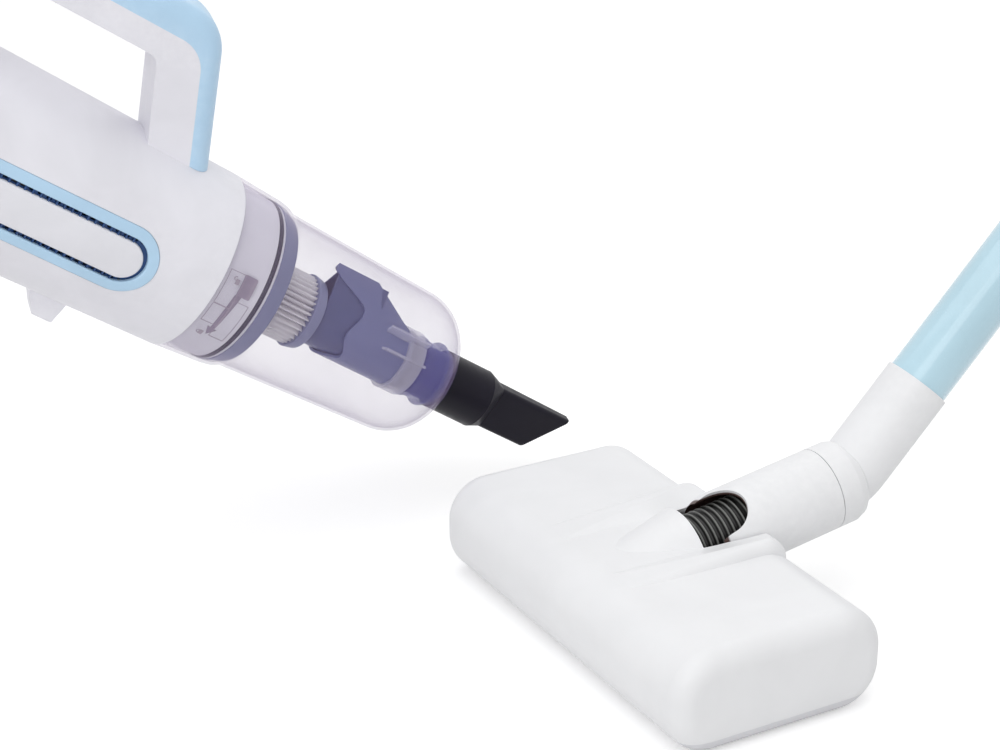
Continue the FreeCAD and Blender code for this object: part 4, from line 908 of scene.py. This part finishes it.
def end_cap(filter_settings):
    """Short round cap on the front of the filter, a little narrower at its front."""
    high = span("filter_cap", HAND)[1]
    length = filter_settings.cap
    taper = 0.0015
    middle = Matrix.Translation((high.x - length / 2, 0, 0)) @ Matrix.Rotation(math.pi / 2, 4, "Y")
    bm = bmesh.new()
    bmesh.ops.create_cone(bm, cap_ends=True, segments=ROUND_STEPS, radius1=high.y, radius2=high.y - taper,
                          depth=length, matrix=middle)
    rims = [e for e in bm.edges if abs(e.verts[0].co.x - e.verts[1].co.x) < MERGE]
    bmesh.ops.bevel(bm, geom=rims, offset=filter_settings.cap_round, segments=4, affect="EDGES", profile=0.5,
                    material=-1)
    return cleaned(bm)


def pleated_ring(filter_settings):
    """Folded paper round its core, closed at both ends, from the frame to just inside the end cap."""
    low, high = span("filter_media", HAND)
    outer = high.y
    tucked_in = 0.0003
    front = span("filter_cap", HAND)[1].x - filter_settings.cap + tucked_in
    paper = 0.0012
    core = outer - filter_settings.fold - paper
    bm = bmesh.new()
    bmesh.ops.create_circle(bm, segments=filter_settings.pleats * 8, radius=outer,
                            matrix=Matrix.Rotation(math.pi / 2, 4, "Y"))
    first = bm.edges[:]

    def set_ring(verts, x, folded):
        for v in verts:
            turn = math.atan2(v.co.y, v.co.z) % FULL_TURN
            lean = 0.012 * math.sin(3 * turn + 40 * x)
            depth = filter_settings.fold * fold_wave(turn + lean, filter_settings.pleats)
            radius = outer - depth if folded else core
            v.co = (x, radius * math.sin(turn), radius * math.cos(turn))

    set_ring(bm.verts[:], low.x, True)
    edges = first
    steps = 5
    for k in range(1, steps + 1):
        verts, edges = grown(bm, edges)
        set_ring(verts, low.x + (front - low.x) * k / steps, True)
    verts, edges = grown(bm, edges)
    set_ring(verts, front, False)
    verts, edges = grown(bm, edges)
    set_ring(verts, low.x, False)
    bmesh.ops.bridge_loops(bm, edges=edges + first)
    return cleaned(bm)


# --- marks on the collar --------------------------------------------------------------------------

def lip_radius(x):
    cup = bpy.context.scene.vacuum.cup
    return SEAM_RADIUS - cup.collar_step * x / cup.collar


def arc_at(degrees):
    return math.radians(degrees) * MARK_RADIUS


def lug_face():
    """The square face of the locking lug that shows through the collar."""
    key = rounded([(0.0128, arc_at(9.5), 0.0008), (0.0213, arc_at(9.5), 0.0008),
                   (0.0213, arc_at(23.5), 0.0008), (0.0128, arc_at(23.5), 0.0008)], 3)
    return plate(key, MARK_HEIGHT)


def arrow_tail():
    """The turning arrow's tail, which tapers to a point away from the lug."""
    tail = [(0.0130, arc_at(9.0)), (0.0172, arc_at(9.0)), (0.0158, arc_at(-4)), (0.0150, arc_at(-18)),
            (0.0168, arc_at(-18)), (0.0132, arc_at(-24)), (0.0104, arc_at(-17)), (0.0124, arc_at(-17.5)),
            (0.0122, arc_at(-4))]
    return plate(tail, MARK_HEIGHT)


def frame_lines(x0, x1, low, high, line=0.00035):
    """A thin rectangular outline, as four strips."""
    sides = [
        [(x0, low), (x1, low), (x1, low + line), (x0, low + line)],
        [(x0, high - line), (x1, high - line), (x1, high), (x0, high)],
        [(x0, low), (x0 + line, low), (x0 + line, high), (x0, high)],
        [(x1 - line, low), (x1, low), (x1, high), (x1 - line, high)],
    ]
    return joined([plate(side, MARK_HEIGHT) for side in sides])


def padlock(x, degrees, open_by):
    """A small lock: a body, and a shackle that is shut or swung by open_by."""
    middle = arc_at(degrees)
    body = rounded([(x - 0.0004, middle - 0.0016, 0.0003), (x + 0.0022, middle - 0.0016, 0.0003),
                    (x + 0.0022, middle + 0.0016, 0.0003), (x - 0.0004, middle + 0.0016, 0.0003)], 3)
    turns = [math.pi * k / 8 for k in range(9)]
    shift = middle + open_by
    outer = [(x - 0.0004 - 0.0017 * math.sin(t), shift + 0.0013 * math.cos(t)) for t in turns]
    inner = [(x - 0.0004 - 0.0012 * math.sin(t), shift + 0.0008 * math.cos(t)) for t in reversed(turns)]
    return joined([plate(body, MARK_HEIGHT), plate(outer + inner, MARK_HEIGHT)])


def collar_frames():
    """Raised outlines and the two small locks on the clear collar."""
    return joined([
        frame_lines(0.0020, 0.0128, arc_at(1), arc_at(24)),
        frame_lines(0.0020, 0.0128, arc_at(-13), arc_at(1)),
        frame_lines(0.0128, 0.0225, arc_at(-22), arc_at(7)),
        padlock(0.0080, 18, 0.0016),
        padlock(0.0068, -22, 0.0),
    ])


# --- side vents -----------------------------------------------------------------------------------

def stadium_rings(middle, length, width, section, closed):
    """A section of (inset, height) carried round a stadium that lies flat, height along y."""
    half = (length - width) / 2
    bm = bmesh.new()
    half_step = Matrix.Rotation(math.pi / ROUND_STEPS, 4, "Y")
    bmesh.ops.create_circle(bm, segments=ROUND_STEPS, radius=width / 2,
                            matrix=half_step @ Matrix.Rotation(math.pi / 2, 4, "X"))
    bmesh.ops.translate(bm, verts=[v for v in bm.verts if v.co.x > 0], vec=(half, 0, 0))
    bmesh.ops.translate(bm, verts=[v for v in bm.verts if v.co.x < 0], vec=(-half, 0, 0))
    first = bm.edges[:]
    edges = first
    verts = bm.verts[:]
    for index, (inset, height) in enumerate(section):
        if index:
            verts, edges = grown(bm, edges)
        for v in verts:
            spine = math.copysign(half, v.co.x)
            spoke = Vector((v.co.x - spine, v.co.z)).normalized() * (width / 2 - inset)
            v.co = (spine + spoke.x, height, spoke.y)
    if closed:
        bmesh.ops.bridge_loops(bm, edges=edges + first)
    else:
        bmesh.ops.contextual_create(bm, geom=edges)
        bmesh.ops.contextual_create(bm, geom=first)
    bmesh.ops.translate(bm, verts=bm.verts, vec=(middle, 0, 0))
    return bm


def onto_case(bm, side):
    """Flat work with its height along y, laid on the case's right (-1) or left (1) side."""
    for v in bm.verts:
        radius = case_radius(v.co.x) + v.co.y
        v.co.y = side * math.sqrt(radius * radius - v.co.z * v.co.z)
    return cleaned(bm)


def vent_middle():
    low, high = span("vent_bezel_right", HAND)
    return (low.x + high.x) / 2


def bezel_ring(vent, side):
    deep = -0.0024
    section = rounded([(0, deep, 0), (0, vent.proud, 0.0008), (vent.bezel, vent.proud - 0.0004, 0.0012),
                       (vent.bezel, deep, 0)], 5)
    return onto_case(stadium_rings(vent_middle(), vent.length, vent.width, section, True), side)


def vent_plate(vent, side):
    trim = 2 * (vent.bezel + vent.slit)
    section = [(0, -0.0022), (0, -0.0004), (0.0003, 0.00005), (0.0009, 0.0003), (0.0040, 0.0004)]
    bm = stadium_rings(vent_middle(), vent.length - trim, vent.width - trim, section, False)
    return onto_case(bm, side)


def slit_ticks(vent, side):
    """Small bars across the two long slits."""
    bars = []
    reach = vent.length / 2 - vent.width / 2
    for k in range(vent.ticks):
        x = vent_middle() - reach + 2 * reach * k / max(1, vent.ticks - 1)
        for row in (-1, 1):
            z = row * (vent.width / 2 - vent.bezel - vent.slit / 2)
            bar = bmesh.new()
            bmesh.ops.create_cube(bar, size=1.0, matrix=Matrix.LocRotScale(
                (x, -0.0016, z), None, (0.0009, 0.0018, vent.slit + 0.0006)))
            bmesh.ops.bevel(bar, geom=bar.edges[:], offset=0.0002, segments=1, affect="EDGES", profile=0.5,
                            material=-1)
            bars.append(bar)
    return onto_case(joined(bars), side)


# --- hose and lint pile ---------------------------------------------------------------------------

def hose_profile(hose):
    """Outer wall of round-topped ribs and a plain inner wall, from the head to the neck's cuff."""
    start = span("hose_head", NECK)[0].x
    end = span("hose_neck", NECK)[1].x
    count = round((end - start) / hose.pitch)
    pitch = (end - start) / count
    valley = hose.radius - hose.rib
    shape = [(0.00, 0.0), (0.30, 0.06), (0.42, 0.55), (0.50, 0.92), (0.60, 1.0), (0.70, 0.92), (0.78, 0.55),
             (0.90, 0.06)]
    outer = [Vector((start + (i + t) * pitch, valley + hose.rib * h)) for i in range(count) for t, h in shape]
    inner = valley - hose.wall
    return outer + [Vector((end, valley)), Vector((end, inner)), Vector((start, inner))]


def mark_ribs(piece, hose):
    """Stores how high each point stands on its rib, for the painted highlight on the crests."""
    inverse = NECK.inverted()
    heights = piece.data.attributes.new(RIB_HEIGHT, "FLOAT", "POINT")
    for v, stored in zip(piece.data.vertices, heights.data):
        radius = (inverse @ v.co).yz.length
        stored.value = (radius - hose.radius + hose.rib) / hose.rib


def pile_strip(pile, low, high):
    """One strip of short tufts, leaning a little this way and that."""
    tufts = []
    rows = pile.rows
    columns = int((high.x - low.x) / pile.spacing)
    for i in range(columns):
        for row in range(rows):
            lean = math.sin(12.9 * i + 7.1 * row)
            x = low.x + pile.spacing * (i + 0.5 + 0.12 * lean)
            y = low.y + (high.y - low.y) * (row + 0.5 + 0.10 * math.cos(5.3 * i)) / rows
            place = Matrix.Translation((x, y, (low.z + high.z) / 2))
            tuft = bmesh.new()
            bmesh.ops.create_cone(tuft, cap_ends=True, segments=6, radius1=0.0005, radius2=0.0011,
                                  depth=high.z - low.z, matrix=place)
            tufts.append(tuft)
    return tufts


# --- operators ------------------------------------------------------------------------------------

class VACUUM_OT_stage(bpy.types.Operator):
    """Make the camera, the floor, the room light and the softboxes"""
    bl_idname = "vacuum.stage"
    bl_label = "Stage"

    def execute(self, context):
        stage = context.scene.vacuum.stage
        make_camera(context.scene, stage)
        make_floor(stage)
        make_room(context.scene, stage)
        make_softboxes(stage)
        context.scene.view_settings.view_transform = "Standard"
        return {"FINISHED"}


def make_camera(scene, stage):
    camera = bpy.data.objects.new("camera", bpy.data.cameras.new("camera"))
    scene.collection.objects.link(camera)
    camera.location = stage.camera_place
    look = Vector(stage.camera_target) - Vector(stage.camera_place)
    camera.rotation_mode = "QUATERNION"
    camera.rotation_quaternion = look.to_track_quat("-Z", "Y")
    camera.data.lens = stage.lens
    camera.data.clip_end = 50.0
    scene.camera = camera


def seen_mask(tree):
    """1 for rays from the eye, a mirror or through glass, and 0 for light that falls on things."""
    path = tree.nodes.new("ShaderNodeLightPath")
    straight = math_node(tree, "MAXIMUM", path.outputs["Is Camera Ray"], path.outputs["Is Transmission Ray"])
    return math_node(tree, "MAXIMUM", straight, path.outputs["Is Glossy Ray"])


def make_floor(stage):
    bm = bmesh.new()
    bmesh.ops.create_grid(bm, x_segments=1, y_segments=1, size=stage.floor_size / 2)
    mesh = bpy.data.meshes.new("floor")
    bm.to_mesh(mesh)
    bm.free()
    floor = bpy.data.objects.new("floor", mesh)
    bpy.context.scene.collection.objects.link(floor)
    material, tree, shader, vector = fresh_material("floor_white")
    shade = ranged(tree, noise_node(tree, vector, 3.0), 0.3, 0.7, 0.0, 1.0)
    tone = mixed_colour(tree, shade, (0.80, 0.80, 0.80, 1.0), (0.81, 0.81, 0.81, 1.0))
    tree.links.new(tone, shader.inputs["Base Color"])
    shader.inputs["Roughness"].default_value = 0.9
    shader.inputs["Specular IOR Level"].default_value = 0.1
    glow = math_node(tree, "MULTIPLY", seen_mask(tree), FLOOR_GLOW)
    shader.inputs["Emission Color"].default_value = (1.0, 1.0, 1.0, 1.0)
    tree.links.new(glow, shader.inputs["Emission Strength"])
    mesh.materials.append(material)


def make_room(scene, stage):
    world = bpy.data.worlds.new("room")
    scene.world = world
    world.use_nodes = True
    tree = world.node_tree
    background = tree.nodes["Background"]
    background.inputs["Color"].default_value = (1.0, 1.0, 1.0, 1.0)
    strength = ranged(tree, seen_mask(tree), 0.0, 1.0, stage.daylight, 1.0)
    tree.links.new(strength, background.inputs["Strength"])


def softbox(name, target, offset, size, power):
    """A lamp that stands off from the target and faces it."""
    lamp = bpy.data.lights.new(name, "AREA")
    lamp.shape = "RECTANGLE"
    lamp.size, lamp.size_y = size
    lamp.energy = power
    box = bpy.data.objects.new(name, lamp)
    bpy.context.scene.collection.objects.link(box)
    place = target + Vector(offset)
    box.location = place
    box.rotation_mode = "QUATERNION"
    box.rotation_quaternion = (target - place).to_track_quat("-Z", "Y")


def make_softboxes(stage):
    middle = Vector(stage.camera_target)
    softbox("key_box", middle, (0.0, -0.2, 1.5), (2.0, 1.6), stage.key)
    softbox("fill_box", middle, (1.1, -1.2, 0.8), (1.4, 1.4), stage.fill)
    softbox("rim_box", middle, (-0.9, 1.0, 0.9), (0.4, 1.4), stage.rim)


class VACUUM_OT_case(bpy.types.Operator):
    """Finish the motor case, its rear cap, foot and front spigot"""
    bl_idname = "vacuum.case"
    bl_label = "Motor case"

    def execute(self, context):
        dress(["case_right", "case_left", "rear_cap", "rest_foot", "front_spigot", "case_screws",
               "charge_socket", "exhaust_filter", "vent_grille_right", "vent_grille_left"])
        return {"FINISHED"}


class VACUUM_OT_handle(bpy.types.Operator):
    """Finish the handle's trim and the power button"""
    bl_idname = "vacuum.handle"
    bl_label = "Handle"

    def execute(self, context):
        dress(["handle_trim", "power_button", "button_switch"])
        return {"FINISHED"}


class VACUUM_OT_works(bpy.types.Operator):
    """Finish the motor, fan, bearings, battery and board inside the case"""
    bl_idname = "vacuum.works"
    bl_label = "Motor and battery"

    def execute(self, context):
        dress(["motor_bulkhead", "fan_cover", "impeller", "motor_shaft", "motor_can", "bearing_front",
               "bearing_rear", "motor_cradle", "battery_cells", "battery_holder", "control_board"])
        return {"FINISHED"}


class VACUUM_OT_vents(bpy.types.Operator):
    """Model the vent frames, plates and slit bars on both sides of the case"""
    bl_idname = "vacuum.vents"
    bl_label = "Side vents"

    def execute(self, context):
        vent = context.scene.vacuum.vent
        for label, side in (("right", -1), ("left", 1)):
            bezel = bezel_ring(vent, side)
            panel = vent_plate(vent, side)
            ticks = slit_ticks(vent, side)
            bezel_piece = piece_of("vent_frame_" + label, bezel, HAND, "trim_blue", "hand_unit")
            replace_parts(bezel_piece, "vent_bezel_" + label)
            panel_piece = piece_of("vent_plate_" + label, panel, HAND, "panel_white", "hand_unit")
            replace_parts(panel_piece, "vent_panel_" + label)
            piece_of("slit_ticks_" + label, ticks, HAND, "vent_dark", "hand_unit")
        return {"FINISHED"}


class VACUUM_OT_cup(bpy.types.Operator):
    """Model the clear dust cup with its rounded nose, and the tinted inlet collar"""
    bl_idname = "vacuum.cup"
    bl_label = "Dust cup"

    def execute(self, context):
        shell = piece_of("clear_cup", cup_shell(context.scene.vacuum.cup), HAND, "clear_shell", "cup")
        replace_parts(shell, "dust_cup")
        rings = turned(inlet_profile(context.scene.vacuum.cup))
        collar = piece_of("ringed_inlet", rings, HAND, "clear_violet", "cup")
        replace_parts(collar, "inlet_collar")
        dress(["cup_ribs"], "clear_rib")
        return {"FINISHED"}


class VACUUM_OT_duct(bpy.types.Operator):
    """Model the smoky duct with its ridge and wavy rear edge, and the darker sheet inside it"""
    bl_idname = "vacuum.duct"
    bl_label = "Inlet duct"

    def execute(self, context):
        duct = context.scene.vacuum.duct
        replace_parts(piece_of("ridged_duct", duct_shell(duct), HAND, "smoke_blue", "cup"), "inlet_duct")
        piece_of("duct_baffle", duct_baffle(duct), HAND, "smoke_blue", "cup", finish="smoke_dark")
        return {"FINISHED"}


class VACUUM_OT_filter(bpy.types.Operator):
    """Model the pleated paper and its end cap, and finish the frame, band and seal"""
    bl_idname = "vacuum.filter"
    bl_label = "Filter and seal"

    def execute(self, context):
        paper = piece_of("pleated_paper", pleated_ring(context.scene.vacuum.filter), HAND, "filter_paper",
                         "hand_unit")
        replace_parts(paper, "filter_media")
        cap = piece_of("filter_end_cap", end_cap(context.scene.vacuum.filter), HAND, "band_blue", "hand_unit")
        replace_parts(cap, "filter_cap")
        dress(["filter_frame", "seal_band", "seal_ring"])
        return {"FINISHED"}


class VACUUM_OT_marks(bpy.types.Operator):
    """Model the turning arrow under the collar, and the raised outlines on it"""
    bl_idname = "vacuum.marks"
    bl_label = "Collar marks"

    def execute(self, context):
        cup = context.scene.vacuum.cup
        spigot = SEAM_RADIUS - cup.spigot_gap
        tail = wrapped(arrow_tail(), lambda x: spigot)
        face = wrapped(lug_face(), lambda x: spigot + cup.lug)
        piece_of("lock_arrow", joined([tail, face]), HAND, "band_blue", "hand_unit", finish="mark_mauve")
        piece_of("lock_frames", wrapped(collar_frames(), lip_radius), HAND, "clear_shell", "cup",
                 finish="mark_mauve")
        return {"FINISHED"}


class VACUUM_OT_nozzle(bpy.types.Operator):
    """Finish the crevice nozzle"""
    bl_idname = "vacuum.nozzle"
    bl_label = "Crevice nozzle"

    def execute(self, context):
        dress(["crevice_nozzle"])
        return {"FINISHED"}


class VACUUM_OT_head(bpy.types.Operator):
    """Finish the floor head's shells, duct, screws and axles"""
    bl_idname = "vacuum.head"
    bl_label = "Floor head"

    def execute(self, context):
        dress(["head_top", "head_base", "sole_plate", "suction_duct", "head_screws", "pivot_pins",
               "wheel_axles", "wheel_rear_left", "wheel_rear_right", "wheel_front_left", "wheel_front_right"])
        return {"FINISHED"}


class VACUUM_OT_pile(bpy.types.Operator):
    """Model the lint pile in the two strips under the head"""
    bl_idname = "vacuum.pile"
    bl_label = "Lint pile"

    def execute(self, context):
        pile = context.scene.vacuum.pile
        low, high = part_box("lint_strips")
        tufts = pile_strip(pile, low, Vector((high.x, low.y + STRIP_WIDTH, high.z)))
        tufts += pile_strip(pile, Vector((low.x, high.y - STRIP_WIDTH, low.z)), high)
        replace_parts(piece_of("lint_pile", joined(tufts), FLOOR, "lint_red", "floor_head"), "lint_strips")
        return {"FINISHED"}


class VACUUM_OT_hose(bpy.types.Operator):
    """Model the ribbed hose between the head and the neck"""
    bl_idname = "vacuum.hose"
    bl_label = "Ribbed hose"

    def execute(self, context):
        hose = context.scene.vacuum.hose
        piece = piece_of("ribbed_hose", turned(hose_profile(hose)), NECK, "hose_black")
        mark_ribs(piece, hose)
        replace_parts(piece, "hose_head", "hose_neck")
        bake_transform(piece)
        dress(["hose_cuff"])
        return {"FINISHED"}


class VACUUM_OT_wand(bpy.types.Operator):
    """Finish the neck, collar, elbow and wand"""
    bl_idname = "vacuum.wand"
    bl_label = "Neck and wand"

    def execute(self, context):
        dress(["neck"], "neck_white")
        dress(["swivel_collar", "elbow", "wand_tube", "wand_top"])
        return {"FINISHED"}


PIECE_OPERATORS = (
    VACUUM_OT_case, VACUUM_OT_handle, VACUUM_OT_works, VACUUM_OT_vents, VACUUM_OT_cup, VACUUM_OT_duct,
    VACUUM_OT_filter, VACUUM_OT_marks, VACUUM_OT_nozzle, VACUUM_OT_head, VACUUM_OT_pile, VACUUM_OT_hose,
    VACUUM_OT_wand,
)


class VACUUM_PT_sidebar(bpy.types.Panel):
    """The vacuum's pieces and settings in the 3D view's sidebar"""
    bl_idname = "VACUUM_PT_sidebar"
    bl_label = "Stick Vacuum"
    bl_space_type = "VIEW_3D"
    bl_region_type = "UI"
    bl_category = "Vacuum"

    def draw(self, context):
        settings = context.scene.vacuum
        self.layout.operator(VACUUM_OT_stage.bl_idname)
        for operator in PIECE_OPERATORS:
            self.layout.operator(operator.bl_idname)
        for group in (settings.cup, settings.duct, settings.filter, settings.vent,
                      settings.hose, settings.pile, settings.colours, settings.stage):
            box = self.layout.box()
            for name in group.bl_rna.properties.keys():
                if name not in ("rna_type", "name"):
                    box.prop(group, name)


CLASSES = (
    CupSettings, DuctSettings, FilterSettings, VentSettings, HoseSettings, PileSettings, ColourSettings,
    StageSettings, VacuumSettings, VACUUM_OT_stage, *PIECE_OPERATORS, VACUUM_PT_sidebar,
)


def register():
    for cls in CLASSES:
        bpy.utils.register_class(cls)
    bpy.types.Scene.vacuum = PointerProperty(type=VacuumSettings)


def unregister():
    del bpy.types.Scene.vacuum
    for cls in reversed(CLASSES):
        bpy.utils.unregister_class(cls)


def main():
    register()
    bpy.ops.vacuum.stage()
    bpy.ops.vacuum.case()
    bpy.ops.vacuum.handle()
    bpy.ops.vacuum.works()
    bpy.ops.vacuum.vents()
    bpy.ops.vacuum.cup()
    bpy.ops.vacuum.duct()
    bpy.ops.vacuum.filter()
    bpy.ops.vacuum.marks()
    bpy.ops.vacuum.nozzle()
    bpy.ops.vacuum.head()
    bpy.ops.vacuum.pile()
    bpy.ops.vacuum.hose()
    bpy.ops.vacuum.wand()


if __name__ == "__main__":
    main()
